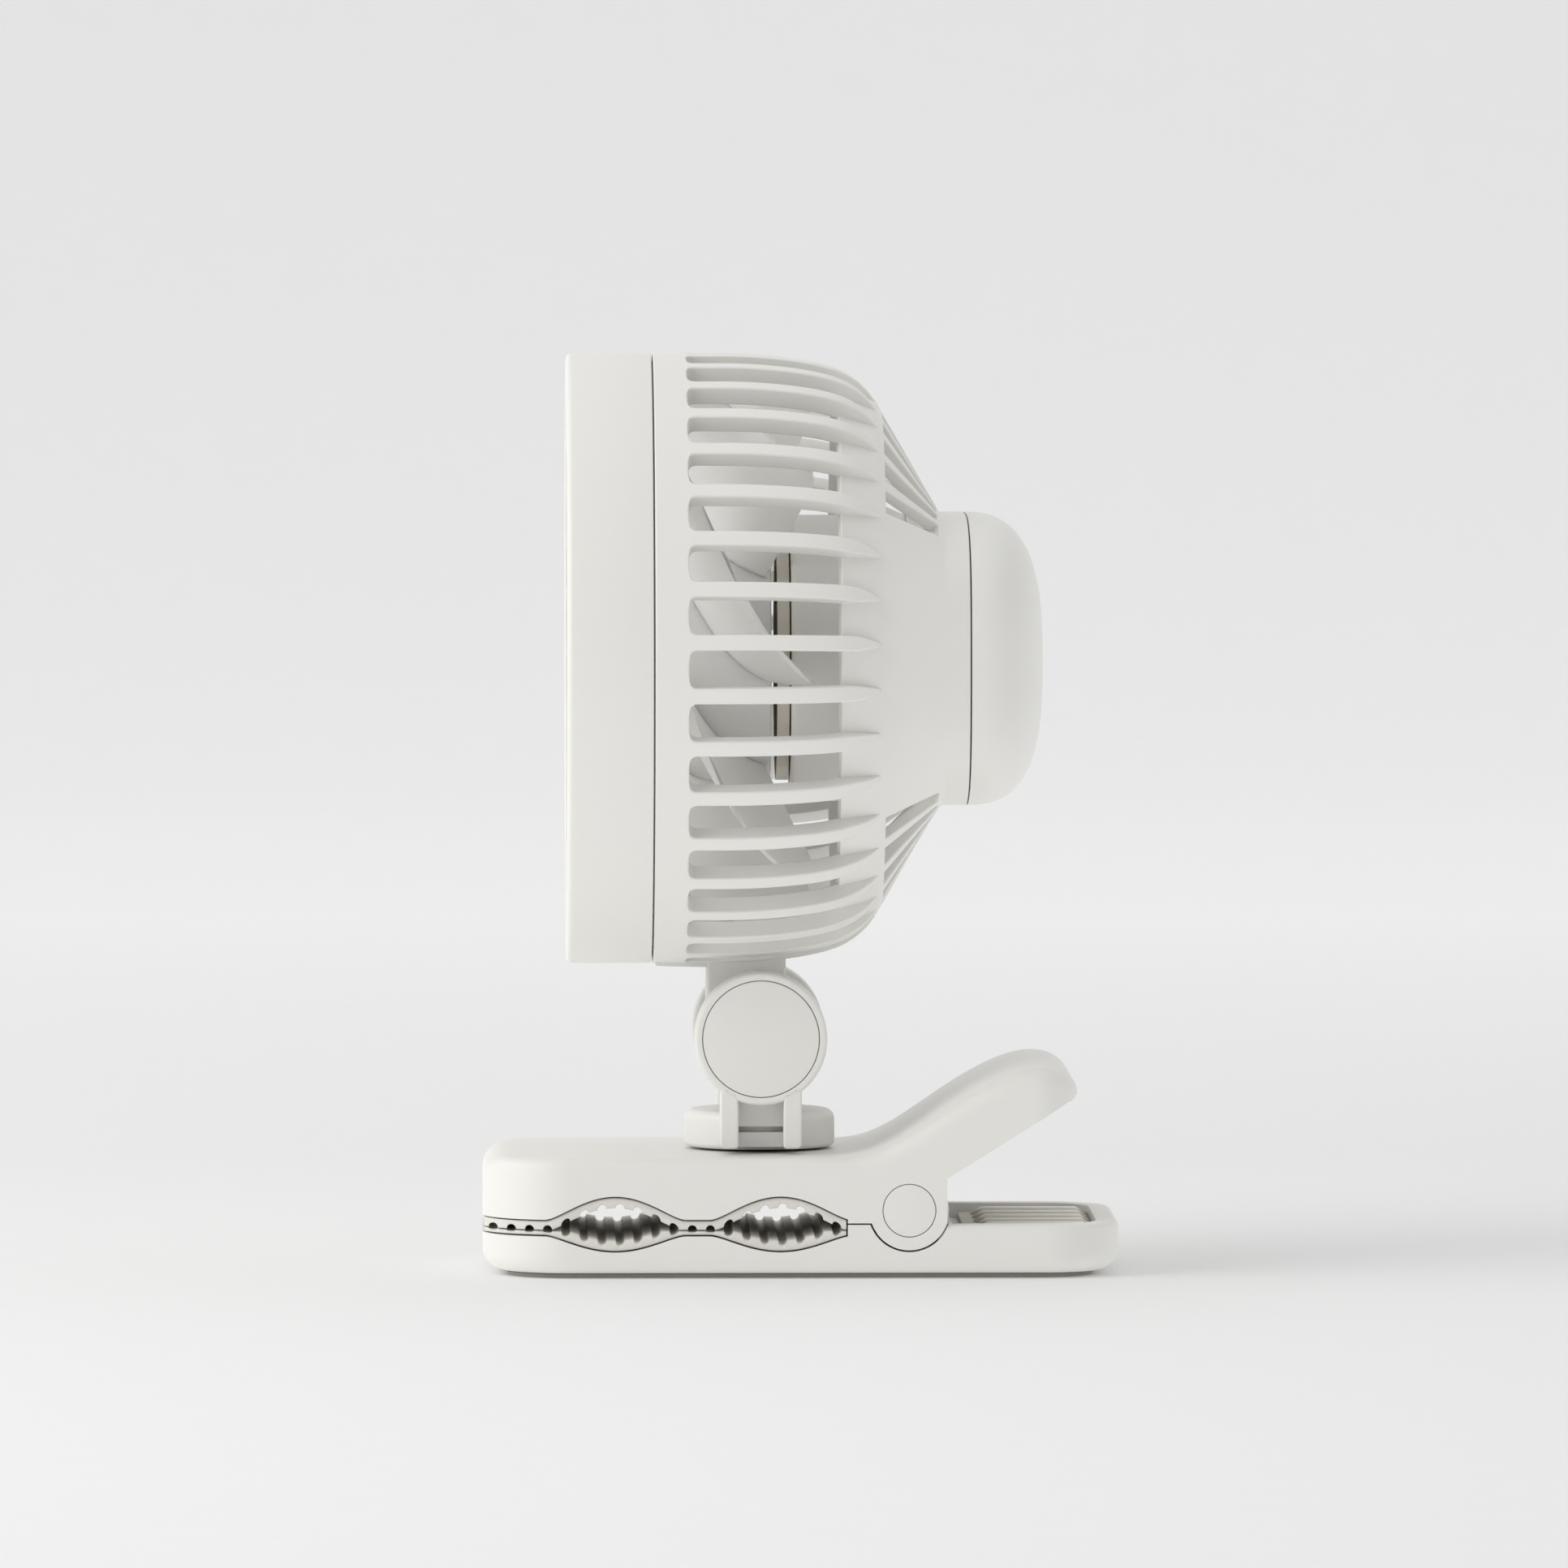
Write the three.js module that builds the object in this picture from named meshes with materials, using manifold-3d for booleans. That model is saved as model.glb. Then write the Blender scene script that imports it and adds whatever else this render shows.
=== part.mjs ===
// Clip fan: a drum-shaped fan head on a tilting, swivelling knuckle, carried by a sprung clip.
// Millimetres, +Z up. The fan blows towards -X, the squeeze handle points to +X, and the sole
// of the clip lies on Z = 0.
import * as THREE from "three";
import { mergeVertices } from "three/addons/utils/BufferGeometryUtils.js";
import Module from "manifold-3d";

const wasm = await Module();
wasm.setup();

// ---------------------------------------------------------------- driving dimensions, mm

// Clearances
const SEAT = 0.3; // between pieces that rest on each other
const RUN = 0.35; // between pieces that turn past each other

// Clip, seen from above and from the side
const CLIP_LENGTH = 119.4;
const CLIP_WIDTH = 62;
const FRONT_CORNER = 16; // plan radius of the mouth's corners
const REAR_CORNER = 14; // plan radius of the tail's corners
const JAW_WALL = 2.2;
const JAW_TOP = 22.6; // flat top of the upper jaw
const JAW_EDGE_ROUND = 2.4; // rounding along the upper jaw's top
const JAW_FRONT_ROUND = 4.4; // rounding over the mouth
const UPPER_EDGE = 11.2; // where the upper jaw ends above its pad
const LOWER_EDGE = 8.05; // where the lower jaw ends under its pad
const BITE_Z = 9.15; // the pads meet here
const TAIL_TOP = 10.2; // top of the lower jaw behind the pads
const MOUTH_LENGTH = 68.3; // the pads stop here
const FOOT_ROUND = 4.2; // rounding under the lower jaw
const SOLE_THICK = 0.9;
const SOLE_INSET = 5.2;
const BASE_PLATE_THICK = 2;
const BASE_SCREW_INSET = 17.7; // rear base screw, from the tail

// Eye-shaped hollows of the bite
const EYE_HALF = 13;
const EYE_RISE = 4.35; // into the upper jaw
const EYE_DROP = 3; // into the lower jaw
const EYE_INSET = [24.8, 55.7]; // middles of the hollows, from the mouth
const PAD_THICK = 1.9;
const PLATE_THICK = 1.6;
const PLATE_SCREW_INSET = 7.7; // front plate screw, from the mouth
const TOOTH_PITCH = 3.38;
const TOOTH_RADIUS = 0.85;

// Handle
const HANDLE_START = -13.1; // along the clip from the hinge, as are the next lengths
const HANDLE_CROWN = 24.9;
const HANDLE_TIP = 31.7;
const EAR_REAR = 7.1;
const HANDLE_CROWN_Z = 39.5;
const HANDLE_TIP_Z = 35.4;
const HANDLE_LIP = 1.6; // height of the tip's end face
const TIP_DRAFT = 1.4; // the tip's end face leans by this much
const START_REACH = 7; // reaches of the outline's curves, longer for a softer bend
const BEND_REACH = 8;
const CROWN_REACH = 5;
const TIP_ROUND = 0.6;
const BEND_STEEPNESS = 1.55; // slope at mid-rise over the mean slope
const EAR_REAR_Z = 18.8; // the handle's underside starts here

// Jaw hinge
const HINGE_INSET = 79.8; // from the mouth
const HINGE_Z = 12.86;
const BOSS_RADIUS = 7.42;
const BOSS_THICK = 4.6;
const HINGE_CAP_RADIUS = 4.9;
const CAP_THICK = 1.5;
const PIN_RADIUS = 1.5;
const LUG_RADIUS = 4.6;
const LUG_THICK = 3.2;
const SPRING_TURNS = 8;
const SPRING_PITCH = 2.3;
const SPRING_RADIUS = 3.3; // of the wire's middle
const SPRING_WIRE = 1.5; // diameter

// Small screws
const SCREW_RADIUS = 1;
const SCREW_HEAD_RADIUS = 2;
const SCREW_HEAD_HEIGHT = 0.9;
const SCREW_BOSS_RADIUS = 3;

// Grip tray in the tail
const GRIP_GAP = 3.2; // from the upper jaw's ears to the tray
const GRIP_WALL = 4.3; // the tray's rim at the tail and the sides
const GRIP_DEPTH = 2.9;
const GRIP_RIBS = 5;
const GRIP_RIB_PITCH = 9.6;
const GRIP_RIB_WIDTH = 2;
const GRIP_RIB_HEIGHT = 1.2;
const GRIP_PLATE = 0.9;

// Swivel and tilt
const PIVOT_INSET = 52.24; // from the mouth
const TURRET_GAP = 0.9; // the turret floats above the jaw on a slip washer
const TURRET_RADIUS = 14.2;
const TURRET_HEIGHT = 6.6;
const TILT_Z = 44.4;
const EAR_RADIUS = 12.45;
const EAR_THICK = 10;
const KNUCKLE_HALF = 10.2;
const KNUCKLE_RADIUS = 10.5;
const WASHER_THICK = 0.6;
const LEG_INNER = 4.2;
const LEG_OUTER = 7.65;
const LEG_LIFT = 1.1; // legs end this far above the turret's underside
const YOKE_CAP_RADIUS = 10.9;
const BOLT_RADIUS = 2.5;
const BOLT_HEAD_RADIUS = 4.5;
const BOLT_HEAD_HEIGHT = 2.6;
const WEB_RECESS = 4; // of the web between the legs, from the ear's face
const SLIT_RISE = 3.1; // from the turret's underside to the slit in the web
const SLIT_HEIGHT = 1.05;
const SLIT_DEPTH = 3;
const SWIVEL_RADIUS = 2;
const NECK_HALF = 6.2;
const STEM = [-10.1, 4.9]; // front and rear of the stem from the tilt axis
const SADDLE_THICK = 0.8;

// Screws
const BASE_SCREW_LENGTH = 4.6;
const PLATE_SCREW_LENGTH = 6;
const NECK_SCREW_LENGTH = 5;

// Head: lengths along its axis, front to rear
const HEAD_RADIUS = 57.5;
const NECK_RISE = 13.2; // from the tilt axis to the drum's underside
const HEAD_LEAD = 36.44; // from the tilt axis forward to the guard's face
const GUARD_LENGTH = 16.3;
const BAND_LENGTH = 6.3; // plain band of the rear shell
const SLOT_LENGTH = 28.3;
const PANEL_LENGTH = 7.5;
const SLOPE_LENGTH = 12;
const HUMP_LENGTH = 4.7;
const CAP_LENGTH = 14.4;
const SHELL_WALL = 2;
const SHOULDER_RADIUS = 48.4;
const RIB_COUNT = 36;
const RIB_WIDTH = 2.9;
const RIB_DEPTH = 3.6;
const SLOPE_SLOTS = 5; // on each side of the top slot, and again at the bottom
const HUMP_HALF_HEIGHT = 27.4;
const HUMP_HALF_WIDTH = 43.3;
const CHEEK_HALF_WIDTH = 44.6; // where the slope meets the hump
const SPIGOT_LENGTH = 3;
const SPIGOT_WALL = 1.8;
const SPIGOT_TAPER = 0.8;

// Front guard
const GUARD_WALL = 2.1;
const GUARD_LIP = 4.4;
const GUARD_CHAMFER = 1;
const VANE_COUNT = 30; // outside the middle ring, and half as many inside it
const VANE_THICK = 1.5;
const VANE_DEPTH = 3;
const VANE_SWEEP = 24; // degrees, root to rim
const MID_RING_RADIUS = 33;
const MID_RING_THICK = 1.8;
const GUARD_HUB_RADIUS = 15.5;
const GUARD_CAP_RADIUS = 12.5;

// Motor cup, motor and fan
const CUP_RADIUS = 27;
const CUP_FRONT_X = -1.8;
const CUP_FLOOR = 1.8;
const BULKHEAD_X = 20;
const BULKHEAD_THICK = 2;
const PLATE_RADIUS = 23;
const MOTOR_PLATE_THICK = 2.3;
const MOTOR_RADIUS = 13.5;
const MOTOR_LENGTH = 14;
const BEARING_RADIUS = 4;
const SHAFT_RADIUS = 1.5;
const SHAFT_LENGTH = 41;
const IMPELLER_HUB_RADIUS = 23;
const HUB_FRONT_X = -28;
const HUB_REAR_X = -5.5;
const HUB_WALL = 1.8;
const BLADE_COUNT = 7;
const BLADE_RADIUS = 50.5;
const BLADE_THICK = 1.5;
const BLADE_FRONT_X = -25.5;
const BLADE_REAR_X = 4;
const BLADE_SWEEP = 50; // degrees, leading to trailing edge
const BLADE_CURL = 0.16; // extra sweep in the middle, as a share
const BLADE_LAG = 0.1; // the tip trails the root by this share of the sweep
const BLADE_EDGE = 0.55; // thickness at the edges, as a share
const BLADE_RAKE = 3; // the root starts this far behind the tip
const BLADE_ROOT_INSET = 1.5; // the root ends this far inside the hub
const BLADE_START = -42; // degrees, where the first blade starts

// Battery, board, socket and button in the hump
const BATTERY_SIZE = [10, 56, 36];
const BOARD_SIZE = [1.6, 50, 38];
const SWITCH_SIZE = [1.6, 6, 6];
const BUTTON_RADIUS = 6;
const BUTTON_RECESS = 0.3;
const BUTTON_TRAVEL = 0.6;
const SOCKET_SIZE = [3.3, 9, 7];
const SOCKET_MOUTH_Z = -24.6; // from the head's axis

// ---------------------------------------------------------------- places that follow from them

const FRONT_X = -CLIP_LENGTH / 2;
const TAIL_X = CLIP_LENGTH / 2;
const HALF_WIDTH = CLIP_WIDTH / 2;
const HINGE_X = FRONT_X + HINGE_INSET;
const PIVOT_X = FRONT_X + PIVOT_INSET;
const MOUTH_END_X = FRONT_X + MOUTH_LENGTH;
const HANDLE_START_X = HINGE_X + HANDLE_START;
const HANDLE_CROWN_X = HINGE_X + HANDLE_CROWN;
const HANDLE_TIP_X = HINGE_X + HANDLE_TIP;
const EAR_REAR_X = HINGE_X + EAR_REAR;
const HEAD_FRONT_X = PIVOT_X - HEAD_LEAD;
const GRIP_FRONT_X = EAR_REAR_X + GRIP_GAP;
const GRIP_REAR_X = TAIL_X - GRIP_WALL;
const GRIP_HALF_WIDTH = HALF_WIDTH - GRIP_WALL;
const EYE_X = EYE_INSET.map((inset) => FRONT_X + inset);
const BETWEEN_EYES_X = (EYE_X[0] + EYE_X[1]) / 2;
const BASE_SCREW_X = [BETWEEN_EYES_X, TAIL_X - BASE_SCREW_INSET];
const PLATE_SCREW_X = [FRONT_X + PLATE_SCREW_INSET, BETWEEN_EYES_X];
const TURRET_Z = JAW_TOP + TURRET_GAP;
const EAR_INNER = KNUCKLE_HALF + WASHER_THICK + 2 * SEAT;
const EAR_OUTER = EAR_INNER + EAR_THICK;
const HEAD_Z = TILT_Z + NECK_RISE + HEAD_RADIUS;
const SEAM_X = HEAD_FRONT_X + GUARD_LENGTH;
const SLOT_X = SEAM_X + BAND_LENGTH;
const PANEL_X = SLOT_X + SLOT_LENGTH;
const SHOULDER_X = PANEL_X + PANEL_LENGTH;
const HUMP_X = SHOULDER_X + SLOPE_LENGTH;
const CAP_X = HUMP_X + HUMP_LENGTH;
const REAR_X = CAP_X + CAP_LENGTH;
const BATTERY_X = BULKHEAD_X + BULKHEAD_THICK + SEAT;
const BOARD_X = BATTERY_X + BATTERY_SIZE[0] + SEAT;
const SOLE_TOP = SOLE_THICK - SEAT;
const ROUND_FACET_COUNT = 24; // facets of a small round piece
const DRUM_FACET_COUNT = 60;

// ---------------------------------------------------------------- materials

const plastic = (color, roughness = 0.55) =>
  new THREE.MeshStandardMaterial({ color, roughness, metalness: 0 });
const metal = (color, roughness = 0.35) =>
  new THREE.MeshStandardMaterial({ color, roughness, metalness: 1 });
const WHITE = 0xe6e4df;
const SOFT_GREY = 0xcfcdc7;

// ---------------------------------------------------------------- solids

// The closed solid of a geometry whose shared vertices are merged, faces pointing out.
function solidOf(geometry) {
  const bare = new THREE.BufferGeometry();
  bare.setAttribute("position", geometry.getAttribute("position"));
  bare.setIndex(geometry.index);
  const merged = mergeVertices(bare, 1e-4);
  const corners = [];
  for (let i = 0; i < merged.index.count; i += 3) {
    const [a, b, c] = merged.index.array.slice(i, i + 3);
    if (a !== b && b !== c && c !== a) corners.push([a, b, c]);
  }
  const build = (order) =>
    new wasm.Manifold(
      new wasm.Mesh({
        numProp: 3,
        vertProperties: merged.getAttribute("position").array,
        triVerts: new Uint32Array(corners.flatMap(order)),
      }),
    );
  const solid = build((t) => t);
  return solid.volume() > 0 ? solid : build(([a, b, c]) => [a, c, b]);
}

const join = (first, ...rest) => rest.reduce((a, b) => a.add(b), first);
const cut = (first, ...rest) => rest.reduce((a, b) => a.subtract(b), first);
const common = (first, ...rest) => rest.reduce((a, b) => a.intersect(b), first);

// A named mesh of a solid.
function piece(name, solid, material) {
  const { vertProperties, triVerts } = solid.getMesh();
  const geometry = new THREE.BufferGeometry();
  geometry.setAttribute("position", new THREE.BufferAttribute(vertProperties, 3));
  geometry.setIndex(new THREE.BufferAttribute(triVerts, 1));
  geometry.computeVertexNormals();
  const mesh = new THREE.Mesh(geometry, material);
  mesh.name = name;
  return mesh;
}

function group(position, ...children) {
  const made = new THREE.Group();
  made.position.set(...position);
  made.add(...children);
  return made;
}

const radians = THREE.MathUtils.degToRad;
const lerp = THREE.MathUtils.lerp;

// Columns of each matrix are where a drawing's right, up and depth go.
const DRAWN = {
  x: new THREE.Matrix4().set(0, 0, 1, 0, 1, 0, 0, 0, 0, 1, 0, 0, 0, 0, 0, 1),
  y: new THREE.Matrix4().set(1, 0, 0, 0, 0, 0, -1, 0, 0, 1, 0, 0, 0, 0, 0, 1),
  z: new THREE.Matrix4(),
};

// A drawing extruded along an axis between two places: (Y, Z) drawings along x,
// (X, Z) drawings along y and (X, Y) drawings along z.
function prism(points, axis, from, to) {
  const shape = new THREE.Shape(points.map(([a, b]) => new THREE.Vector2(a, b)));
  const settings = { depth: to - from, bevelEnabled: false };
  const geometry = new THREE.ExtrudeGeometry(shape, settings).applyMatrix4(DRAWN[axis]);
  const start = { x: [from, 0, 0], y: [0, to, 0], z: [0, 0, from] }[axis];
  return solidOf(geometry.translate(...start));
}

// A profile of [place along the axis, radius] turned about x, y or z.
function turned(profile, axis, facets = ROUND_FACET_COUNT) {
  const points = profile.map(([along, radius]) => new THREE.Vector2(radius, along));
  const geometry = new THREE.LatheGeometry(points, facets);
  if (axis === "x") geometry.rotateZ(-Math.PI / 2);
  if (axis === "z") geometry.rotateX(Math.PI / 2);
  return solidOf(geometry);
}

// A plain round bar, and a round washer.
const bar = (axis, radius, from, to, facets = ROUND_FACET_COUNT) =>
  turned([[from, 0], [from, radius], [to, radius], [to, 0]], axis, facets);
const washer = (axis, inner, outer, from, to, facets = ROUND_FACET_COUNT) =>
  turned([[from, inner], [from, outer], [to, outer], [to, inner], [from, inner]], axis, facets);

function block(x0, x1, y0, y1, z0, z1) {
  const box = new THREE.BoxGeometry(x1 - x0, y1 - y0, z1 - z0);
  return solidOf(box.translate((x0 + x1) / 2, (y0 + y1) / 2, (z0 + z1) / 2));
}

// A closed skin through rings of points; the last ring joins the first again.
function ringBody(rings) {
  const around = rings[0].length;
  const index = [];
  rings.forEach((_, i) => {
    const here = i * around;
    const next = ((i + 1) % rings.length) * around;
    for (let j = 0; j < around; j++) {
      const k = (j + 1) % around;
      index.push(here + j, next + j, next + k, here + j, next + k, here + k);
    }
  });
  const geometry = new THREE.BufferGeometry();
  geometry.setAttribute("position", new THREE.Float32BufferAttribute(rings.flat(2), 3));
  geometry.setIndex(index);
  return solidOf(geometry);
}

const shifted = (solid, x, y, z) => solid.translate([x, y, z]);

// A screw with its flat head down at z = 0, and the hole that clears it.
function screwUp(length, clearance = 0) {
  const head = SCREW_HEAD_RADIUS + clearance;
  const shank = SCREW_RADIUS + clearance;
  const seat = SCREW_HEAD_HEIGHT + clearance;
  const end = length + clearance;
  return turned(
    [[-clearance, 0], [-clearance, head], [seat, head], [seat, shank], [end, shank], [end, 0]],
    "z",
    12,
  );
}

const turnedAbout = (solid, axis, degrees) =>
  solid.rotate({ x: [degrees, 0, 0], y: [0, degrees, 0], z: [0, 0, degrees] }[axis]);

// ---------------------------------------------------------------- outlines of the clip

// Rounded rectangle of the clip seen from above, drawn in by an inset.
function clipPlan(inset, steps = 5) {
  const corners = [
    [TAIL_X, HALF_WIDTH, REAR_CORNER, 0],
    [FRONT_X, HALF_WIDTH, FRONT_CORNER, 90],
    [FRONT_X, -HALF_WIDTH, FRONT_CORNER, 180],
    [TAIL_X, -HALF_WIDTH, REAR_CORNER, 270],
  ];
  return corners.flatMap(([x, y, corner, start]) => {
    const radius = Math.max(corner - inset, 0.5);
    const cx = x - Math.sign(x) * (inset + radius);
    const cy = y - Math.sign(y) * (inset + radius);
    return Array.from({ length: steps + 1 }, (_, i) => {
      const angle = radians(start + (90 * i) / steps);
      return [cx + radius * Math.cos(angle), cy + radius * Math.sin(angle)];
    });
  });
}

// 0 on the straight bite, 1 in the middle of an eye, with soft ends.
const eye = (x) =>
  Math.max(...EYE_X.map((middle) => Math.max(0, 1 - ((x - middle) / EYE_HALF) ** 2) ** 1.5));
const upperEdge = (x) => UPPER_EDGE + EYE_RISE * eye(x);
const lowerEdge = (x) => LOWER_EDGE - EYE_DROP * eye(x);

// Places along the bite from the mouth to the pads' end, closer together in the eyes.
function bitePlaces(from, to) {
  const steps = 8;
  const inEyes = EYE_X.flatMap((middle) =>
    Array.from({ length: 2 * steps + 1 }, (_, i) => middle + (EYE_HALF * (i - steps)) / steps),
  );
  return [from, ...inEyes.filter((x) => x > from + 0.1 && x < to - 0.1), to];
}

const edgeLine = (edge, from, to, lift = 0) =>
  bitePlaces(from, to).map((x) => [x, edge(x) + lift]);

// Top of the upper jaw from the handle's tip to the mouth, drawn in by an inset.
function upperTop(inset) {
  const curve = new THREE.CurvePath();
  const start = new THREE.Vector2(HANDLE_START_X, JAW_TOP - inset);
  const crown = new THREE.Vector2(HANDLE_CROWN_X, HANDLE_CROWN_Z - inset);
  const tip = new THREE.Vector2(HANDLE_TIP_X - inset, HANDLE_TIP_Z - inset / 3);
  const rise = (crown.y - start.y) / (crown.x - start.x);
  const bend = start.clone().lerp(crown, 0.5);
  const slope = new THREE.Vector2(1, BEND_STEEPNESS * rise);
  const first = bend.clone().addScaledVector(slope, -BEND_REACH);
  const second = bend.clone().addScaledVector(slope, BEND_REACH);
  const before = new THREE.Vector2(start.x + START_REACH, start.y);
  const after = new THREE.Vector2(crown.x - CROWN_REACH, crown.y);
  const corner = new THREE.Vector2(tip.x - TIP_ROUND, crown.y - TIP_ROUND / 2);
  curve.add(new THREE.CubicBezierCurve(tip, corner, corner, crown));
  curve.add(new THREE.CubicBezierCurve(crown, after, second, bend));
  curve.add(new THREE.CubicBezierCurve(bend, first, before, start));
  return curve.getPoints(5).map(({ x, y }) => [x, y]);
}

// Front of the upper jaw from its top to its lower edge.
function upperFront(inset) {
  const radius = JAW_FRONT_ROUND;
  const x = FRONT_X + inset;
  const z = JAW_TOP - inset;
  return Array.from({ length: 4 }, (_, i) => {
    const angle = radians(90 + 30 * i);
    return [x + radius + radius * Math.cos(angle), z - radius + radius * Math.sin(angle)];
  });
}

// Arc of the hinge boss seen from the near side, from its front foot to its rear foot.
function bossArc(radius, from, to, steps = 8) {
  return Array.from({ length: steps + 1 }, (_, i) => {
    const angle = radians(lerp(from, to, i / steps));
    return [HINGE_X + radius * Math.cos(angle), HINGE_Z + radius * Math.sin(angle)];
  });
}

// ---------------------------------------------------------------- lower jaw

// The lower jaw's block: its plan, drawn in step by step towards the foot.
function lowerBlock() {
  const steps = 3;
  const layers = Array.from({ length: steps + 1 }, (_, i) => {
    const angle = radians((90 * i) / steps);
    return [FOOT_ROUND * (1 - Math.sin(angle)), SOLE_THICK + FOOT_ROUND * (1 - Math.cos(angle))];
  });
  layers.push([0, TAIL_TOP]);
  const rings = layers.map(([inset, z]) => clipPlan(inset).map(([x, y]) => [x, y, z]));
  const middle = (z) => rings[0].map(() => [0, 0, z]);
  return ringBody([middle(SOLE_THICK), ...rings, middle(TAIL_TOP)]);
}

function lowerJawShell() {
  const far = HALF_WIDTH + 1;
  const above = TAIL_TOP + 1;
  const bite = [
    ...edgeLine(lowerEdge, FRONT_X - 1, MOUTH_END_X),
    [MOUTH_END_X, above],
    [FRONT_X - 1, above],
  ];
  const ceiling = (x) => lowerEdge(x) - JAW_WALL;
  const grip = TAIL_TOP - GRIP_DEPTH;
  const hollow = [
    [FRONT_X, 0],
    ...edgeLine(ceiling, FRONT_X, MOUTH_END_X - JAW_WALL),
    [MOUTH_END_X - JAW_WALL, TAIL_TOP - JAW_WALL],
    [GRIP_FRONT_X - JAW_WALL, TAIL_TOP - JAW_WALL],
    [GRIP_FRONT_X - JAW_WALL, grip - JAW_WALL],
    [TAIL_X, grip - JAW_WALL],
    [TAIL_X, 0],
  ];
  const cavity = common(
    prism(hollow, "y", -far, far),
    prism(clipPlan(SOLE_INSET), "z", 0, TAIL_TOP),
  );
  const tray = block(GRIP_FRONT_X, GRIP_REAR_X, -GRIP_HALF_WIDTH, GRIP_HALF_WIDTH, grip, above);
  const earRoom = HALF_WIDTH - BOSS_THICK - RUN;
  const earNotch = (from, to) => atHinge(bar("y", BOSS_RADIUS + RUN, from, to, 36));
  const springWell = block(
    HINGE_X - LUG_RADIUS - RUN,
    HINGE_X + LUG_RADIUS + RUN,
    -springHalf() - RUN,
    springHalf() + RUN,
    SOLE_THICK + BASE_PLATE_THICK,
    above,
  );
  const body = cut(
    lowerBlock(),
    prism(bite, "y", -far, far),
    cavity,
    tray,
    earNotch(-far, -earRoom),
    earNotch(earRoom, far),
    springWell,
  );
  const bosses = BASE_SCREW_X.map((x) =>
    shifted(bar("z", SCREW_BOSS_RADIUS, SOLE_THICK + BASE_PLATE_THICK, grip - 1, 16), x, 0, 0),
  );
  const pinHole = atHinge(bar("y", PIN_RADIUS + SEAT, -far, far));
  const screwHoles = BASE_SCREW_X.map((x) => baseScrew(x, SEAT));
  return cut(join(body, ...[-1, 1].map(hingeLug), ...bosses), pinHole, ...screwHoles);
}

const springHalf = () => (SPRING_TURNS * SPRING_PITCH) / 2 + SPRING_WIRE;

// One of the two lugs that carry the hinge pin in the lower jaw.
function hingeLug(side) {
  const inner = springHalf() + RUN;
  const outer = inner + LUG_THICK;
  const foot = TAIL_TOP - JAW_WALL;
  const [from, to] = side > 0 ? [inner, outer] : [-outer, -inner];
  const outline = [
    [HINGE_X + LUG_RADIUS, foot],
    ...bossArc(LUG_RADIUS, 0, 180, 8),
    [HINGE_X - LUG_RADIUS, foot],
  ];
  return prism(outline, "y", from, to);
}

const atHinge = (solid) => shifted(solid, HINGE_X, 0, HINGE_Z);

function basePlate() {
  const top = SOLE_THICK + BASE_PLATE_THICK - SEAT;
  const plate = prism(clipPlan(SOLE_INSET + SEAT), "z", SOLE_THICK, top);
  return cut(plate, ...BASE_SCREW_X.map((x) => baseScrew(x, SEAT)));
}

const baseScrew = (x, clearance = 0) =>
  shifted(screwUp(BASE_SCREW_LENGTH - SEAT, clearance), x, 0, SOLE_THICK);

const baseSole = () => prism(clipPlan(SOLE_INSET - 0.5), "z", 0, SOLE_TOP);

// One pad's outline: a smooth back that follows the jaw and a toothed face.
// side is 1 for the upper pad and -1 for the lower one.
function padOutline(side) {
  const from = FRONT_X + SEAT;
  const to = MOUTH_END_X - SEAT;
  const back = side > 0 ? (x) => upperEdge(x) - SEAT : (x) => lowerEdge(x) + SEAT;
  const bite = BITE_Z + (side * SEAT) / 2;
  const face = (x) =>
    side > 0
      ? Math.max(back(x) - PAD_THICK, bite)
      : Math.min(back(x) + PAD_THICK, bite);
  const toothed = [[from, face(from)]];
  const teeth = Math.floor((to - from) / TOOTH_PITCH);
  const margin = (to - from - (teeth - 1) * TOOTH_PITCH) / 2;
  for (let i = 0; i < teeth; i++) {
    const middle = from + margin + i * TOOTH_PITCH;
    const thick = Math.abs(back(middle) - face(middle));
    const deep = Math.min(TOOTH_RADIUS, Math.max(thick - 0.45, 0.15));
    for (let k = 0; k <= 4; k++) {
      const turn = radians(45 * k);
      const x = middle - TOOTH_RADIUS * Math.cos(turn);
      toothed.push([x, face(x) + side * deep * Math.sin(turn)]);
    }
  }
  toothed.push([to, face(to)]);
  return [...toothed, ...edgeLine(back, from, to).reverse()];
}

const pad = (side) =>
  common(
    prism(padOutline(side), "y", -HALF_WIDTH, HALF_WIDTH),
    prism(clipPlan(SEAT), "z", 0, JAW_TOP),
  );

// Ribbed tray insert under the user's fingers.
function gripInsert() {
  const floor = TAIL_TOP - GRIP_DEPTH + SEAT;
  const half = GRIP_HALF_WIDTH - SEAT;
  const [x0, x1] = [GRIP_FRONT_X + SEAT, GRIP_REAR_X - SEAT];
  const plate = block(x0, x1, -half, half, floor, floor + GRIP_PLATE);
  const ribs = Array.from({ length: GRIP_RIBS }, (_, i) => {
    const y = (i - (GRIP_RIBS - 1) / 2) * GRIP_RIB_PITCH;
    const w = GRIP_RIB_WIDTH / 2;
    const top = floor + GRIP_PLATE + GRIP_RIB_HEIGHT;
    return block(x0 + 2, x1 - 1, y - w, y + w, floor, top);
  });
  return join(plate, ...ribs);
}

const hingePin = () => bar("y", PIN_RADIUS, -HALF_WIDTH + 2.4, HALF_WIDTH - 2.4);

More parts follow.
